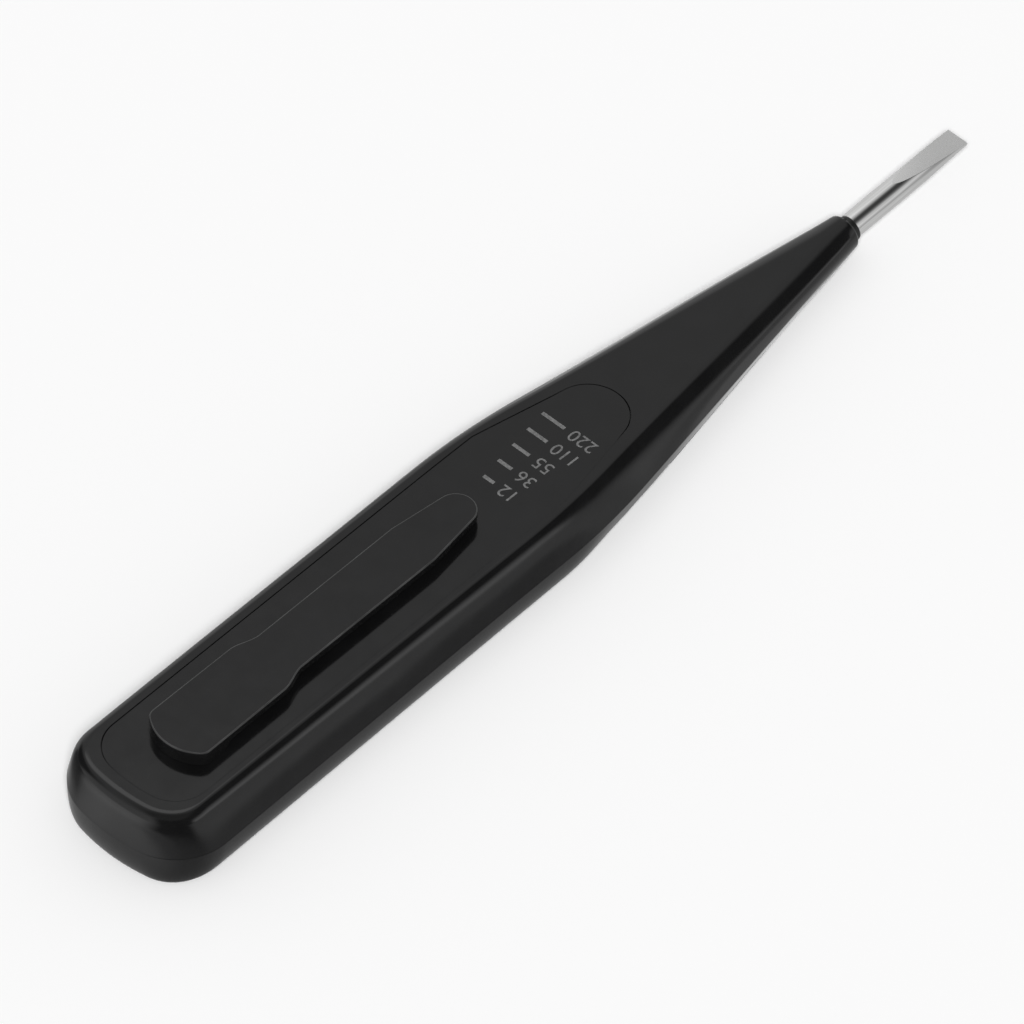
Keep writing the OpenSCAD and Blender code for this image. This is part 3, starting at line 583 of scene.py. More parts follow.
def casing_front():
    shape = Shape()
    s = np.linspace(0.008, 1, 25)
    # From the pocket back round the butt
    ys = np.concatenate([np.linspace(9.5, 50, 20), np.linspace(51, POCKET_Y0, 44)])
    base = mirrored(along_sides(PARTING_BUTT, parting_half, parting_z, ys))
    sole = mirrored(along_sides(SOLE_BUTT, sole_half, sole_z, ys))
    points, slopes = front_curve(base, sole, np.repeat(s[:, None], len(base), 1))
    normals = wall_normals(points, slopes)
    normals[-1] = down_normal(sole[:, 1])
    shape.grid(points, normals)
    parting_edge(shape, base, points[0], 1)
    holes = [key_hole(y, HOLE_ROUND) for y in KEYS.values()]
    shape.fill(sole, holes, sole_z, down_normal)
    for hole, y in zip(holes, KEYS.values()):
        side = lift(outward(hole), 0)
        loops, n = [], []
        for off, drop, face, turn in rounding(5):
            loop = key_hole(y, HOLE_ROUND * off)
            loops.append(lift(loop, sole_z(loop[:, 1]) + HOLE_ROUND * drop))
            n.append(unit(DOWN * face - side * turn))
        shape.rows(loops, n)
        shape.rows([loops[-1], lift(loops[-1][:, :2], HOLE_TOP)], [-side] * 2)
    # Along the pocket the wall stops at the pocket's ceiling
    ys = np.linspace(POCKET_Y0, POCKET_Y1, 25)
    fine = np.linspace(0, 1, 200)
    z = section(ys, np.repeat(fine[:, None], len(ys), 1))[0][..., 2]
    cut = np.array([np.interp(-POCKET_Z, -z[:, i], fine) for i in range(len(ys))])
    points, slopes = section(ys, s[:, None] * cut)
    normals = wall_normals(points, slopes)
    for flip in (1, MIRROR):
        shape.grid(points * flip, normals * flip)
        base = np.column_stack([parting_half(ys), ys, parting_z(ys)]) * flip
        parting_edge(shape, base, points[0] * flip, 1)
    brink = points[-1] * [1, 1, 0] + [0, 0, POCKET_Z]
    window = np.array([(WINDOW_X, WINDOW_Y0), (WINDOW_X, WINDOW_Y1),
                       (-WINDOW_X, WINDOW_Y1), (-WINDOW_X, WINDOW_Y0)])
    ceiling = np.concatenate([brink, brink[::-1] * MIRROR])
    shape.fill(ceiling, [window], level_at(POCKET_Z), all_facing(-1))
    for a, b in zip(window, np.roll(window, -1, 0)):
        n = [-(b - a)[1], (b - a)[0], 0]
        side = np.stack([a, b])
        shape.rows([lift(side, POCKET_Z), lift(side, WINDOW_Z)], [n] * 2, closed=False)
    for y, facing, at in ((POCKET_Y0, 1, 0), (POCKET_Y1, -1, -1)):
        t = np.linspace(cut[at], 1, 14)[:, None]
        shape.strip(section(np.array([y]), t)[0][:, 0], [0, facing, 0])
    # From the pocket to the nose
    ys = np.linspace(POCKET_Y1, NOSE_Y, 16)
    base = np.concatenate([np.column_stack([parting_half(ys), ys, parting_z(ys)]), nose_line(0)])
    sole = np.concatenate([np.column_stack([sole_half(ys), ys, sole_z(ys)]), nose_line(-1)])
    points, slopes = front_curve(base, sole, np.repeat(s[:, None], len(base), 1))
    normals = wall_normals(points, slopes)
    for flip in (1, MIRROR):
        shape.grid(points * flip, normals * flip)
        parting_edge(shape, base * flip, points[0] * flip, 1)
    shape.strip(sole, np.where(np.arange(len(sole))[:, None] < len(ys), down_normal(sole[:, 1]), normals[-1]))
    nose_end(shape, np.concatenate([points[:, ::-1] * MIRROR, points], 1))
    piece("casing_front", shape, [black_front], "housing", ["front_shell"])


def clip_panel():
    shape = Shape()
    side = lift(outward(plate_loop(0)), 0)
    loops, n = [], []
    for off, drop, face, turn in rounding(5):
        loop = plate_loop(-EDGE * off)
        loops.append(lift(loop, back_z(loop[:, 1]) - RECESS - EDGE * drop))
        n.append(unit(up_normal(loop[:, 1]) * face + side * turn))
    shape.rows(loops, n)
    low = lift(loops[-1][:, :2], back_z(loops[-1][:, 1]) - RECESS - PLATE_THICK)
    shape.rows([loops[-1], low], [side] * 2)
    half = len(low) // 2 + 1
    shape.strip(loops[0][:half], up_normal(loops[0][:half, 1]))
    shape.strip(low[:half], [0, 0, -1])
    # It sits a little askew in its seat, so that the seam is wider on some sides
    shift, nose_shift = np.array([0.04, -0.012, 0]), np.array([-0.045, -0.045, 0])
    shape.points = [p + mix(shift, nose_shift, ease((p[:, 1:2] - 77) / 3)) for p in shape.points]
    piece("clip_panel", shape, [black], "housing", ["clip_plate"])


# Pocket clip, drawn in the plate's plane with y counted from the clip's round end
def on_plate(p, turn_only=False):
    """From the plate's plane to the casing's millimetres; normals are only turned."""
    c, s = math.cos(SLOPE), math.sin(SLOPE)
    p = np.asarray(p, float)
    out = np.stack([p[..., 0], p[..., 1] * c + p[..., 2] * s, p[..., 2] * c - p[..., 1] * s], -1)
    return out if turn_only else out + [0, CLIP_START, float(back_z(np.array(CLIP_START))) - RECESS]


ROOT_HALF, ROOT_NECK, ROOT_CROWN, ROOT_LENGTH = 4.41, 0.11, 6.05, 6.0
JOG_START, JOG_LENGTH, ARM_HALF, BULLET_LENGTH, BULLET_R = 14.7, 3.9, 3.35, 9.4, 2.45


def clip_half(y):
    root = ROOT_HALF - ROOT_NECK * np.clip(y / JOG_START, 0, 1)
    return mix(root, ARM_HALF, ease((y - JOG_START) / JOG_LENGTH))


def clip_outline():
    """Right half of the clip's outline, from its round end to its tip."""
    crown_share, corner_length = 0.86, 0.75
    arc = math.asin(ROOT_HALF / ROOT_CROWN)
    a = np.linspace(0, arc * crown_share, 15)
    end = ROOT_CROWN * np.stack([np.sin(a), 1 - np.cos(a)], 1)
    corner = ROOT_CROWN * np.array([math.sin(arc), 1 - math.cos(arc)])
    after = np.array([clip_half(corner[1] + corner_length), corner[1] + corner_length])
    t = np.linspace(0, 1, 8)[1:, None]
    turn = end[-1] * (1 - t) ** 2 + corner * 2 * t * (1 - t) + after * t ** 2
    ys = np.concatenate([np.linspace(2.9, JOG_START, 26),
                         np.linspace(JOG_START, JOG_START + JOG_LENGTH, 15)[1:],
                         np.linspace(20, CLIP_LENGTH - BULLET_LENGTH, 14)])
    side = np.column_stack([clip_half(ys), ys])
    lean = math.asin((ARM_HALF - BULLET_R) / (BULLET_LENGTH - BULLET_R))
    b = np.linspace(lean, math.pi / 2, 20)
    tip = BULLET_R * np.stack([np.cos(b), np.sin(b)], 1) + [0, CLIP_LENGTH - BULLET_R]
    join = side[-1] + (tip[0] - side[-1]) * np.linspace(0, 1, 8)[1:-1, None]
    return np.concatenate([end, turn, side, join, tip])


def pocket_clip():
    shape = Shape()
    round_r, chamfer, sunk, arch_start, arch_length = 0.2, 0.1, 0.02, 5.2, 1.3
    half = clip_outline()
    loop = closed_loop(half)
    side = outward(loop)
    fall = math.tan(ARM_FALL)
    y = loop[:, 1]
    top = CLIP_HEIGHT - fall * np.maximum(0, y - ROOT_LENGTH)
    # The root stands on the panel; a rounded arch leads from it to the arm's underside
    under = np.clip((y - arch_start) / arch_length, 0, 1)
    bottom = (top - ARM_THICK) * np.sqrt(np.maximum(0, 1 - (1 - under) ** 2)) - sunk * (under <= 0)
    up = unit(np.column_stack([np.zeros_like(y), np.where(y > ROOT_LENGTH, fall, 0), np.ones_like(y)]))
    flat = lift(side, 0)
    rows, n = [], []
    for off, drop, face, turn in rounding(6):
        rows.append(lift(loop - side * round_r * off, top - round_r * drop))
        n.append(unit(up * face + flat * turn))
    # The upper part of the top rounding takes the lighter edge finish, a painted highlight line, partly wear
    shape.rows(rows[:4], n[:4], mark=1)
    shape.rows(rows[3:], n[3:])
    low = lift(loop, bottom + chamfer)
    shape.rows([rows[-1], low], [flat] * 2)
    base = lift(loop - side * chamfer, bottom)
    slant = unit(flat - [0, 0, 1])
    shape.rows([low, base], [slant] * 2)
    count = len(half)
    shape.strip(rows[0][:count], up[:count])
    pull = np.gradient(bottom[:count], np.maximum.accumulate(y[:count]) + np.arange(count) * 1e-6)
    belly = unit(np.column_stack([np.zeros(count), np.clip(pull, -3, 3), -np.ones(count)]))
    shape.strip(base[:count], belly)
    # Ridge under the tip that grips the cloth
    at, wide, ridge = CLIP_LENGTH - 2.6, ARM_HALF * 0.55, 0.3
    a = np.linspace(-math.pi / 2, math.pi / 2, 13)
    low_z = float(np.interp(at, y[:count], bottom[:count])) + 0.02
    profile = np.stack([np.sin(a) * ridge, 0.36 - np.cos(a) * ridge], 1)
    profile = np.concatenate([[[-ridge, low_z]], profile, [[ridge, low_z]]])
    n = np.concatenate([[[-1, 0]], np.stack([np.sin(a), -np.cos(a)], 1), [[1, 0]]])
    xs = np.array([-wide, -wide + 0.12, wide - 0.12, wide])
    size = np.array([0.6, 1, 1, 0.6])
    points = np.stack([np.column_stack([np.full(len(profile), x), at + profile[:, 0] * k,
                                        low_z + (profile[:, 1] - low_z) * mix(0.7, 1, (k - 0.6) / 0.4)])
                       for x, k in zip(xs, size)], 1)
    shape.grid(points, np.repeat(np.column_stack([0 * n[:, 0], n])[:, None], 4, 1))
    for i, facing in ((0, -1), (3, 1)):
        end = points[:, i]
        middle = np.stack([end[:, 0], np.full(len(end), at), end[:, 2]], 1)
        shape.rows([end, middle], [[facing, 0, 0]] * 2, closed=False)
    # It sits a little to one side on its panel
    shape.points = [on_plate(p) + [0.19, 0, 0] for p in shape.points]
    shape.normals = [on_plate(v, True) for v in shape.normals]
    hinge = np.array([0, ROOT_LENGTH, CLIP_HEIGHT - ARM_THICK / 2])
    bend = [0, 1.2, 0]
    piece("pocket_clip", shape, [black_clip, clip_edge_highlight_and_wear], "housing", ["clip_root", "clip_arm"],
          blend=("clip", on_plate(hinge - bend), on_plate(hinge + bend)))


# Blade and collar. The lower ground face is hollow: HOLLOW is the power of its curve
GRIND, TIP_NARROWING, UPPER_CUT, LOWER_TIP, HOLLOW = 11.0, 0.03, 1.2, 0.02, 2.2


def screwdriver_blade():
    shape = Shape()
    start, grind, chamfer = LENGTH + 0.82, TOTAL - GRIND, 0.05
    ys = np.concatenate([[start, start + chamfer], np.linspace(start + 0.4, grind, 8),
                         grind + GRIND * np.linspace(0, 1, 40)[1:] ** 1.6])
    u = np.clip((ys - grind) / GRIND, 0, 1)
    r = SHAFT_R - TIP_NARROWING * u
    r[0] = SHAFT_R - chamfer
    # Heights of the ground faces above and below the axis; the lower one is hollow ground
    upper, upper_fall = SHAFT_R - UPPER_CUT * u, np.full_like(u, UPPER_CUT / GRIND)
    lower_cut = SHAFT_R - LOWER_TIP
    lower = LOWER_TIP + lower_cut * (1 - u) ** HOLLOW
    lower_fall = lower_cut * HOLLOW * (1 - u) ** (HOLLOW - 1) / GRIND
    cut = ys > grind
    high = np.where(cut, np.arcsin(np.clip(upper / r, 0, 1)), math.pi / 2)
    low = np.where(cut, np.arcsin(np.clip(lower / r, 0, 1)), math.pi / 2)
    a = mix(-low, high, np.linspace(0, 1, 33)[:, None])
    wall = np.stack([np.cos(a) * r, np.broadcast_to(ys, a.shape), AXIS_Z + np.sin(a) * r], -1)
    n = np.stack([np.cos(a), np.zeros_like(a), np.sin(a)], -1)
    first = np.flatnonzero(cut)[0] + 4
    for flip in (1, MIRROR):
        shape.grid(wall[:-1] * flip, n[:-1] * flip)
        shape.grid(wall[-2:, :first] * flip, n[-2:, :first] * flip)
        # A painted dark reflection line along the right side, where the upper ground face meets the round
        mark = 0 if flip is MIRROR else 2
        shape.grid(wall[-2:, first - 1:] * flip, n[-2:, first - 1:] * flip, mark=mark)
    ground_part = ys >= grind
    for up, height, fall in ((1, upper, upper_fall), (-1, lower, lower_fall)):
        h = np.minimum(height, r)[ground_part]
        edge = np.sqrt(np.maximum(0, r[ground_part] ** 2 - h * h))
        right = np.column_stack([edge, ys[ground_part], AXIS_Z + up * h])
        normals = np.column_stack([0 * edge, fall[ground_part], np.full_like(edge, up)])
        shape.strip(right, unit(normals), mark=1)
    shape.strip(wall[:, -1], [0, 1, 0], mark=1)
    shape.strip(wall[:, 0], [0, -1, 0])
    piece("screwdriver_blade", shape, [steel, ground, painted_edge_line], "housing", ["blade"])


def collar():
    shape = Shape()
    a = np.linspace(0, 2 * math.pi, 65)[:-1]
    # Radius, and distance from the nose
    profile = [(1.12, 0.0), (1.54, 0.0), (1.60, 0.06), (1.60, 0.62), (1.57, 0.74), (1.50, 0.80), (1.12, 0.80)]
    circle = np.stack([np.cos(a), 0 * a, np.sin(a)], 1)
    for (r0, y0), (r1, y1) in zip(profile, profile[1:]):
        n = circle * (y1 - y0) + np.array([0, r0 - r1, 0])
        shape.rows([circle * r0 + [0, LENGTH + y0, AXIS_Z], circle * r1 + [0, LENGTH + y1, AXIS_Z]], [n, n])
    # It sits a little low on the shaft
    shape.points = [p + [0.05, 0, -0.07] for p in shape.points]
    piece("collar", shape, [sleeve], "housing", ["insulating_collar"])


# Front face: lens and keys
def clear_plastic():
    m, tree, shader = material("clear_lens", IOR=1.49, Base_Color=(0.93, 0.95, 0.95, 1),
                               Transmission_Weight=1.0)
    tree.links.new(between(tree, grain(tree, 500, detail=4), 0.03, 0.07), shader.inputs["Roughness"])
    bumped(tree, shader, grain(tree, 1500), 0.03, FINE)
    return m


def inset(loop, d):
    return loop - outward(loop) * d


def lens():
    """A clear plate with a black border; it is clear over the window of the front half."""
    shape = Shape()
    corner, round_r, border, clear_corner = 0.3, 0.2, 0.1, 0.4
    wide = [float(sole_half(np.array(y))) + over for y, over in OVERHANG.items()]
    corners = np.array([(wide[0], LENS_START), (wide[1], LENS_END),
                        (-wide[1], LENS_END), (-wide[0], LENS_START)])
    t = np.linspace(0, 1, 9)[:, None]
    bends = []
    for k, c in enumerate(corners):
        before, after = (c + unit(corners[i] - c) * corner for i in (k - 1, (k + 1) % 4))
        bends.append(before * (1 - t) ** 2 + c * 2 * t * (1 - t) + after * t ** 2)
    loop = np.concatenate(bends)
    side = lift(outward(loop), 0)
    rows, n = [], []
    for off, drop, face, turn in rounding(6):
        rows.append(lift(inset(loop, round_r * off), LENS_LOW + round_r * drop))
        n.append(unit(DOWN * face + side * turn))
    shape.rows(rows, n, mark=1)
    top = lift(loop, LENS_TOP)
    shape.rows([rows[-1], top], [side] * 2, mark=1)
    width, length = 2 * (WINDOW_X - border), WINDOW_Y1 - WINDOW_Y0 - 2 * border
    window = round_rect(width, length, clear_corner, (WINDOW_Y0 + WINDOW_Y1) / 2)
    for outline, z, facing in ((rows[0], LENS_LOW, -1), (top, LENS_TOP, 1)):
        shape.fill(outline, [window], level_at(z), all_facing(facing), mark=1)
        shape.fill(window, [], level_at(z), all_facing(facing))
    piece("lens", shape, [clear_plastic(), lens_border], "housing", ["display_lens"])


def touch_key(body, y):
    """A dished metal cap with a round edge, and the flange that keeps it in."""
    shape = Shape()
    round_r, sunk, dish, tilt, corner, flange_corner = 0.28, 0.15, 0.12, 0.018, 1.35, 1.5
    floor = float(sole_z(np.array(y + KEY_LENGTH / 2 + KEY_FLANGE))) + FRONT_WALL + FIT
    outline = round_rect(KEY_WIDTH, KEY_LENGTH, corner, y)
    side = lift(outward(outline), 0)
    centre = np.array([0, y])
    rows, n = [], []
    for k in np.linspace(0.02, 1, 9):
        loop = centre + (inset(outline, round_r) - centre) * k
        rows.append(lift(loop, sunk + dish * (1 - k * k)))
        n.append(unit(np.column_stack([-(loop - centre) * tilt, -np.ones(len(loop))])))
    first = shape.rows(rows, n)
    shape.face(range(first, first + len(outline)))
    bevel, n = [], []
    for off, drop, face, turn in rounding(7):
        bevel.append(lift(inset(outline, round_r * off), sunk + round_r * drop))
        n.append(unit(DOWN * face + side * turn))
    shape.rows(bevel, n)
    neck = lift(outline, floor)
    shape.rows([bevel[-1], neck], [side] * 2)
    flange = round_rect(KEY_WIDTH + 2 * KEY_FLANGE, KEY_LENGTH + 2 * KEY_FLANGE, flange_corner, y)
    out = lift(outward(flange), 0)
    shape.rows([neck, lift(flange, floor)], [[0, 0, -1]] * 2)
    top = floor + FLANGE_THICK
    shape.rows([lift(flange, floor), lift(flange, top)], [out] * 2)
    shape.fill(flange, [], level_at(top), all_facing(1))
    key = body.replace("touch_", "")
    piece(key + "_cap", shape, [key_metal], body, [key])


def key_spring(body_name, key_y):
    """Cone of wire between a key and the board."""
    spring, joint = (body_name.replace("touch_key", word) for word in ("key_spring", "key_press"))
    bottom, top = (corner[2] * 1000 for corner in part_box(spring))
    wire, turns, wide, narrow = 0.125, 3, 2.2, 1.2
    s = np.linspace(0, 1, turns * 32 + 1)
    a, r = 2 * math.pi * turns * s, mix(wide, narrow, s)
    path = np.stack([r * np.cos(a), key_y + r * np.sin(a), mix(bottom + wire, top - wire, s)], 1)
    along = unit(np.gradient(path, axis=0))
    across = unit(np.cross(along, [0, 0, 1]))
    over = np.cross(across, along)
    b = np.linspace(0, 2 * math.pi, 11)[:-1, None]
    n = np.cos(b) * across[:, None] + np.sin(b) * over[:, None]
    tube = path[:, None] + wire * n
    shape = Shape()
    shape.grid(tube, n, closed=True)
    for end, way in ((0, -1), (-1, 1)):
        first = shape.add(tube[end], along[end] * way)
        shape.face(range(first, first + len(b)))
    obj = piece(spring + "_coil", shape, [spring_steel], "housing", [spring])
    tuple(metres([0, key_y, top]))
    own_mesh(obj)


# Plain scale printed on the panel: numbers and bars
def panel_print():
    ink, tree, shader = material("grey_ink", IOR=1.45)
    colour = shades(tree, grain(tree, 4000, detail=2), (0.10, 0.10, 0.10), (0.20, 0.20, 0.20))
    tree.links.new(colour, shader.inputs["Base Color"])
    tree.links.new(between(tree, grain(tree, 2500), 0.45, 0.6), shader.inputs["Roughness"])
    bumped(tree, shader, grain(tree, 3000), 0.1, FINE)
    first_row, pitch, size, number_x, above = 63.4, 2.9, 2.5, 0.4, 0.012
    bar_start, bar_half, shortest, longer = -0.5, 0.24, 1.6, 0.45
    points, faces = [], []

    def put(flat, polygons):
        first = len(points)
        for x, y in flat:
            points.append((x, y, float(back_z(np.array(y))) - RECESS + above))
        faces.extend(tuple(first + i for i in f) for f in polygons)
    for k, number in enumerate(("12", "36", "55", "110", "220")):
        y = first_row + pitch * k
        text = bpy.data.curves.new("number", "FONT")
        text.body, text.size, text.align_x, text.align_y = number, size, "RIGHT", "CENTER"
        text.resolution_u = 4
        holder = linked("number", text)
        bpy.context.view_layer.update()
        made = holder.to_mesh()
        flat = [(number_x - v.co.x, y - v.co.y) for v in made.vertices]
        put(flat, [tuple(p.vertices) for p in made.polygons])
        holder.to_mesh_clear()
        bpy.data.objects.remove(holder)
        bpy.data.curves.remove(text)
        stop, low, high = bar_start - (shortest + longer * k), y - bar_half, y + bar_half
        put([(bar_start, low), (stop, low), (stop, high), (bar_start, high)], [(0, 1, 2, 3)])
    mesh = bpy.data.meshes.new("panel_print")
    mesh.from_pydata(metres(np.array(points)).tolist(), [], faces)
    mesh.materials.append(ink)
    for p in mesh.polygons:
        if p.normal.z < 0:
            p.flip()
    obj = linked("panel_print", mesh)
    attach(obj, "housing")


casing_back()
casing_front()
clip_panel()
pocket_clip()
screwdriver_blade()
collar()
lens()
for body_name, key_y in KEYS.items():
    touch_key(body_name, key_y)
    key_spring(body_name, key_y)
panel_print()

# Finishes of the pieces inside
inner = {
    metal("pin_steel", (0.5, 0.5, 0.5), (0.6, 0.6, 0.6), 0.3, 0.05, (0.1, 3, 3)): ["anchor_pin"],
    spring_steel: ["blade_spring"],
    metal("tinned_brass", (0.62, 0.56, 0.42), (0.72, 0.67, 0.55), 0.3, 0.06, (1, 1, 1)):
        ["blade_terminal", "key_pads"],
    matter("display_cell", (0.27, 0.30, 0.24), (0.31, 0.34, 0.275), 0.18, 700, 0.02): ["lcd_glass"],
    matter("white_plastic", (0.74, 0.74, 0.71), (0.80, 0.80, 0.78), 0.4, 800): ["lcd_holder"],
    matter("dark_rubber", (0.02, 0.02, 0.022), (0.045, 0.045, 0.048), 0.6, 1800): ["zebra_strips"],
    matter("green_board", (0.012, 0.085, 0.04), (0.02, 0.12, 0.06), 0.35, 600, 0.08): ["circuit_board"],
    matter("chip_black", (0.012, 0.012, 0.013), (0.03, 0.03, 0.03), 0.5, 2500):
        ["controller_chip", "clamp_diodes"],
    matter("resistor_body", (0.48, 0.37, 0.23), (0.56, 0.44, 0.28), 0.45, 1500): ["safety_resistors"],
    matter("chip_ceramic", (0.10, 0.09, 0.08), (0.42, 0.33, 0.22), 0.45, 900):
        ["chip_resistors", "chip_capacitors"],
}
for finish, names in inner.items():
    for name in names:
        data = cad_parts[name].data
        data.materials.clear()
        data.materials.append(finish)

# Floor, surroundings and camera
floor_mesh = bpy.data.meshes.new("floor")
floor_mesh.from_pydata([(-4, -4, 0), (4, -4, 0), (4, 4, 0), (-4, 4, 0)], [], [(0, 1, 2, 3)])
floor = linked("floor", floor_mesh)
paper = material("floor", Base_Color=(0.965, 0.965, 0.965, 1), Roughness=0.9, Specular_IOR_Level=0.0)[0]
floor_mesh.materials.append(paper)

world = bpy.data.worlds.new("studio")
bpy.context.scene.world = world
world.use_nodes = True
background = world.node_tree.nodes["Background"].inputs
background["Color"].default_value = (1, 1, 1, 1)
background["Strength"].default_value = 0.36
floor.visible_glossy = False


def lobe(d, centre, inner_deg, outer_deg):
    """1 near a direction, falling to 0 between two angles from it."""
    angle = np.degrees(np.arccos(np.clip(d @ unit(np.array(centre, float)), -1, 1)))
    return ease((outer_deg - angle) / (outer_deg - inner_deg))


def span(v, low, high, soft):
    """1 between two values and 0 outside them, with soft ends."""
    return ease((v - low) / soft + 0.5) * ease((high - v) / soft + 0.5)


def sky(d):
    """How bright the studio looks in gloss, by direction: soft boxes, dark flags and a pale horizon."""
    x, y, z = d.T
    az = np.degrees(np.arctan2(y, x))
    out = np.full(len(d), 0.52)
    # Dark flags on the right, overhead and on the left, and a pale patch low behind the butt
    out = mix(out, 0.06, ease((x + 0.04) / 0.32))
    out = mix(out, 0.20, lobe(d, (0.15, -0.25, 0.96), 20, 38))
    out = mix(out, 0.07, lobe(d, (-0.84, -0.32, 0.44), 19, 32))
    out = mix(out, 0.72, lobe(d, (-0.35, -0.93, 0.1), 22, 42))
    # A soft box overhead, turned by 45 degrees
    u, w = (x - y + 0.947) * 0.707, (x + y - 0.074) * 0.707
    out = mix(out, 1.35, span(u, 0.075, 0.34, 0.04) * span(w, -0.38, 0.05, 0.08) * (z > 0))
    # Pale low on the left, toward the tip and beside the handle
    out = mix(out, 0.76, ease((0.6 - z) / 0.2) * span(az, 115, 165, 20))
    out = mix(out, 0.70, ease((0.25 - z) / 0.15) * ease((-x - 0.75) / 0.1) * ease((y + 0.1) / 0.25))
    # A glow low down on the right, and a lower one toward the tip
    foot = mix(0.09, 0.14, ease((az - 26) / 4))
    beside = mix(mix(0.06, 1.4, ease((0.48 - z) / 0.44)), 0.57, ease((foot - z) / 0.08))
    ahead = mix(0.06, mix(0.52, 1.0, ease((az - 41) / 5)), ease((0.2 - z) / 0.17))
    glow = mix(beside, ahead, ease((az - 33) / 5))
    return mix(out, glow, span(az, -2, 95, 16) * ease((0.55 - z) / 0.07))


def table(x, y):
    """How bright the table looks in gloss, by place in millimetres; d is the distance from the handle."""
    near = np.clip(y, -62, 48)
    d = np.maximum(0, np.hypot(x, y - near) - parting_half(near + TOTAL / 2))
    az = np.degrees(np.arctan2(y - near, x))
    q = (np.abs(x) - y) * 0.707
    out = 0.27 + 0.28 * ease((24 - q) / 5) + 0.45 * ease((12 - q) / 12)
    out = mix(mix(0.37, 0.9, ease((y - 10) / 20)), out, ease((d - 8) / 14))
    out = mix(out, 0.57, ease((d - 27.5 - 0.3 * np.minimum(0, y + 15) - 0.9 * np.maximum(0, y + 15)) / 7))
    # Round the butt: dark on both sides, pale behind it
    edge = mix(-42, -78, ease((d - 8) / 10))
    left = ease((np.abs(az) - 125) / 20) * ease((-61 - y) / 6)
    right = ease((az - edge) / 32 + 0.5) * ease((-8 - az) / 18 + 0.5)
    out = mix(out, mix(0.40, 0.12, ease((d - 2) / 5)), left)
    out = mix(out, mix(0.25, 0.05, ease((d - 8) / 11)), right)
    pale = mix(mix(0.40, 0.62, ease(d / 4)), 1.1, ease((d - 3) / 18))
    pale = pale * mix(1.05, 0.45, ease((az + 105 - 40 * ease((11 - d) / 6)) / 44))
    out = mix(out, pale, ease((az + 148) / 36) * ease((edge - az) / 32 + 0.5))
    return mix(out, 0.57, ease((y - 46) / 8))


def glowing(name, points, faces, level):
    """A stage piece that only gloss sees."""
    mesh = bpy.data.meshes.new(name)
    mesh.from_pydata(points.tolist(), [], faces)
    mesh.attributes.new("level", "FLOAT", "POINT").data.foreach_set("value", level.astype(np.float32))
    m = bpy.data.materials.new(name)
    m.use_nodes = True
    tree = m.node_tree
    tree.nodes.clear()
    seen = node(tree, "ShaderNodeAttribute", attribute_name="level")
    glow = node(tree, "ShaderNodeEmission", {"Strength": seen.outputs["Fac"]})
    node(tree, "ShaderNodeOutputMaterial", {"Surface": glow.outputs["Emission"]})
    mesh.materials.append(m)
    obj = linked(name, mesh)
    obj.visible_camera = obj.visible_diffuse = obj.visible_shadow = False
    obj.visible_transmission = obj.visible_volume_scatter = False


el = np.linspace(-0.02, math.pi / 2, 91)
az = np.linspace(0, 2 * math.pi, 361)[:-1]
d = np.stack([np.cos(el)[:, None] * np.cos(az), np.cos(el)[:, None] * np.sin(az),
              np.repeat(np.sin(el)[:, None], len(az), 1)], -1).reshape(-1, 3)
SKY_R, TABLE_HALF, TABLE_Z, CROWDING = 0.9, 950, 0.01, 5
glowing("studio_sky", d * SKY_R, quads(len(el), len(az), True), sky(d))
# The table's points lie closer together near the object
spread = np.sinh(np.linspace(-1, 1, 161) * CROWDING) / math.sinh(CROWDING) * TABLE_HALF
lines = np.sort(np.concatenate([spread, np.linspace(-120, 120, 81)]))
x, y = (v.ravel() for v in np.meshgrid(spread, lines))
points = np.stack([x, y, np.full_like(x, TABLE_Z)], 1)
glowing("studio_table", points / 1000, quads(len(lines), len(spread), False), table(x, y))
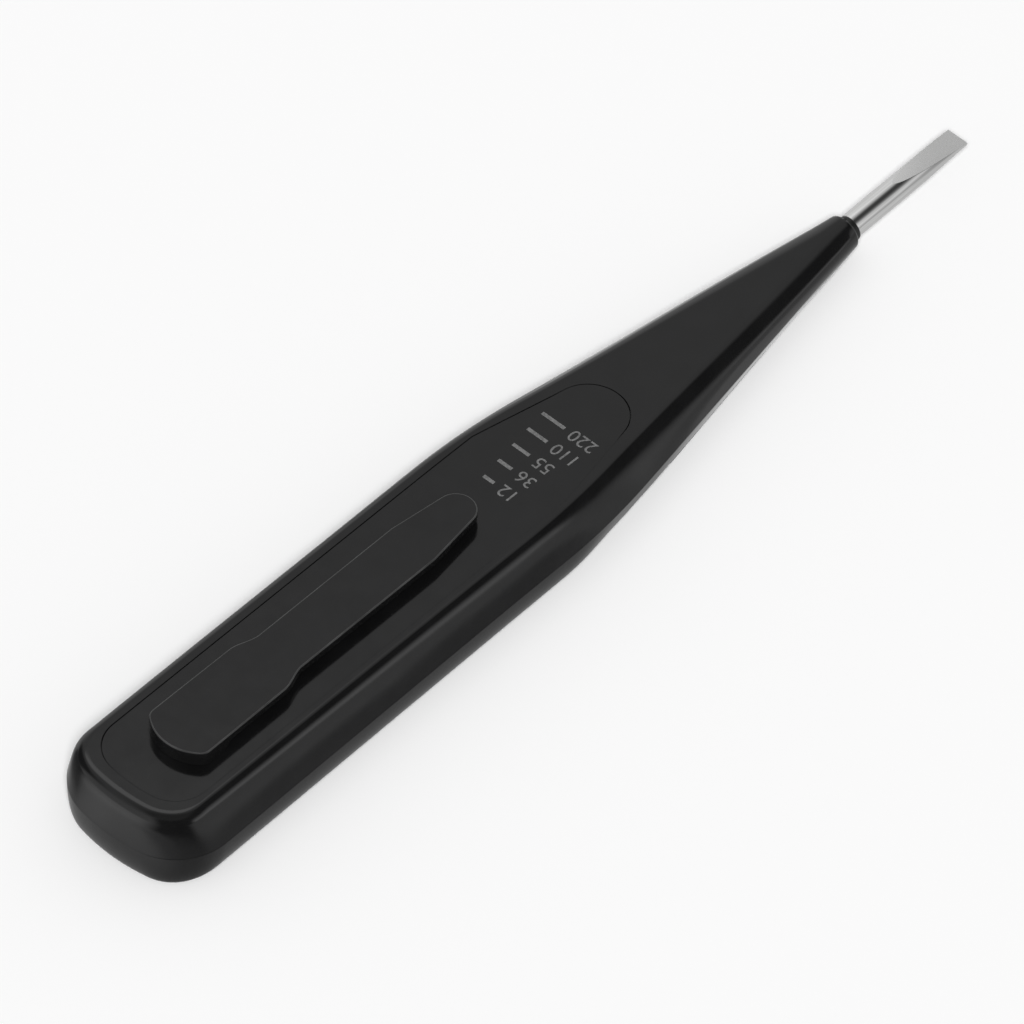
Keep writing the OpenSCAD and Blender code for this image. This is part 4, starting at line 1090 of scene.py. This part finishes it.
# A small bent reflector over the blade: its level goes from the shaft's pattern to the tip's
CARD_COLS, CARD_ROWS, CARD_START, CARD_END, CARD_R = 139, 12, 54.4, 78, 7
lean, along = (v.ravel() for v in np.meshgrid(np.linspace(-100, 107, CARD_COLS),
                                              np.linspace(CARD_START, CARD_END, CARD_ROWS)))
at_shaft = np.interp(lean, [-90, -26, -18, -8, 2, 10, 24, 33, 42, 51, 60, 68, 76, 86, 97, 107],
                     [0.68, 0.73, 0.62, 0.38, 0.14, 0.045, 0.045, 0.10,
                      0.29, 0.56, 0.69, 0.76, 0.51, 0.46, 0.57, 0.58])
at_tip = np.interp(lean, [-90, -18, 0, 40, 62, 70, 78, 86, 97, 107],
                   [0.57, 0.55, 0.45, 0.40, 0.40, 0.38, 0.24, 0.30, 0.36, 0.45])
level = mix(at_shaft, at_tip, ease((along - 63) / 9)) * mix(1.06, 1, ease((along - CARD_START) / 4))
bend = np.radians(lean)
points = np.stack([CARD_R * np.sin(bend), along, AXIS_Z + CARD_R * np.cos(bend)], 1)
glowing("studio_card", points / 1000, quads(CARD_ROWS, CARD_COLS, False), level)

camera_data = bpy.data.cameras.new("camera")
camera = linked("camera", camera_data)
# The photograph shows the pivot, a point of the frame in millimetres, at the pivot's pixel
PIVOT, PIVOT_PIXEL, PIXELS_PER_MM, PICTURE, DISTANCE = (0, -9.75, 5.1), (478.515, 524.289), 8.9711, 1024, 2500
az, el = math.radians(42.7676), math.radians(50.006)
right = Vector((math.cos(az), math.sin(az), 0))
back = Vector((math.sin(az) * math.cos(el), -math.cos(az) * math.cos(el), math.sin(el)))
up = back.cross(right)
target = Vector(PIVOT) + right * ((PICTURE / 2 - PIVOT_PIXEL[0]) / PIXELS_PER_MM)
target += up * ((PIVOT_PIXEL[1] - PICTURE / 2) / PIXELS_PER_MM)
place = (target + back * DISTANCE) / 1000
camera.matrix_world = Matrix((right, up, back)).transposed().to_4x4()
camera.matrix_world.translation = place
camera_data.sensor_width = 36
camera_data.lens = camera_data.sensor_width * DISTANCE * PIXELS_PER_MM / PICTURE
camera_data.clip_end = 50
bpy.context.scene.camera = camera

lamp_data = bpy.data.lights.new("front_lamp", "SUN")
lamp_data.energy, lamp_data.angle = 2.6, math.radians(12)
lamp = linked("front_lamp", lamp_data)
lamp.matrix_world = camera.matrix_world
lamp.visible_glossy = False
bpy.context.scene.view_settings.view_transform = "Standard"
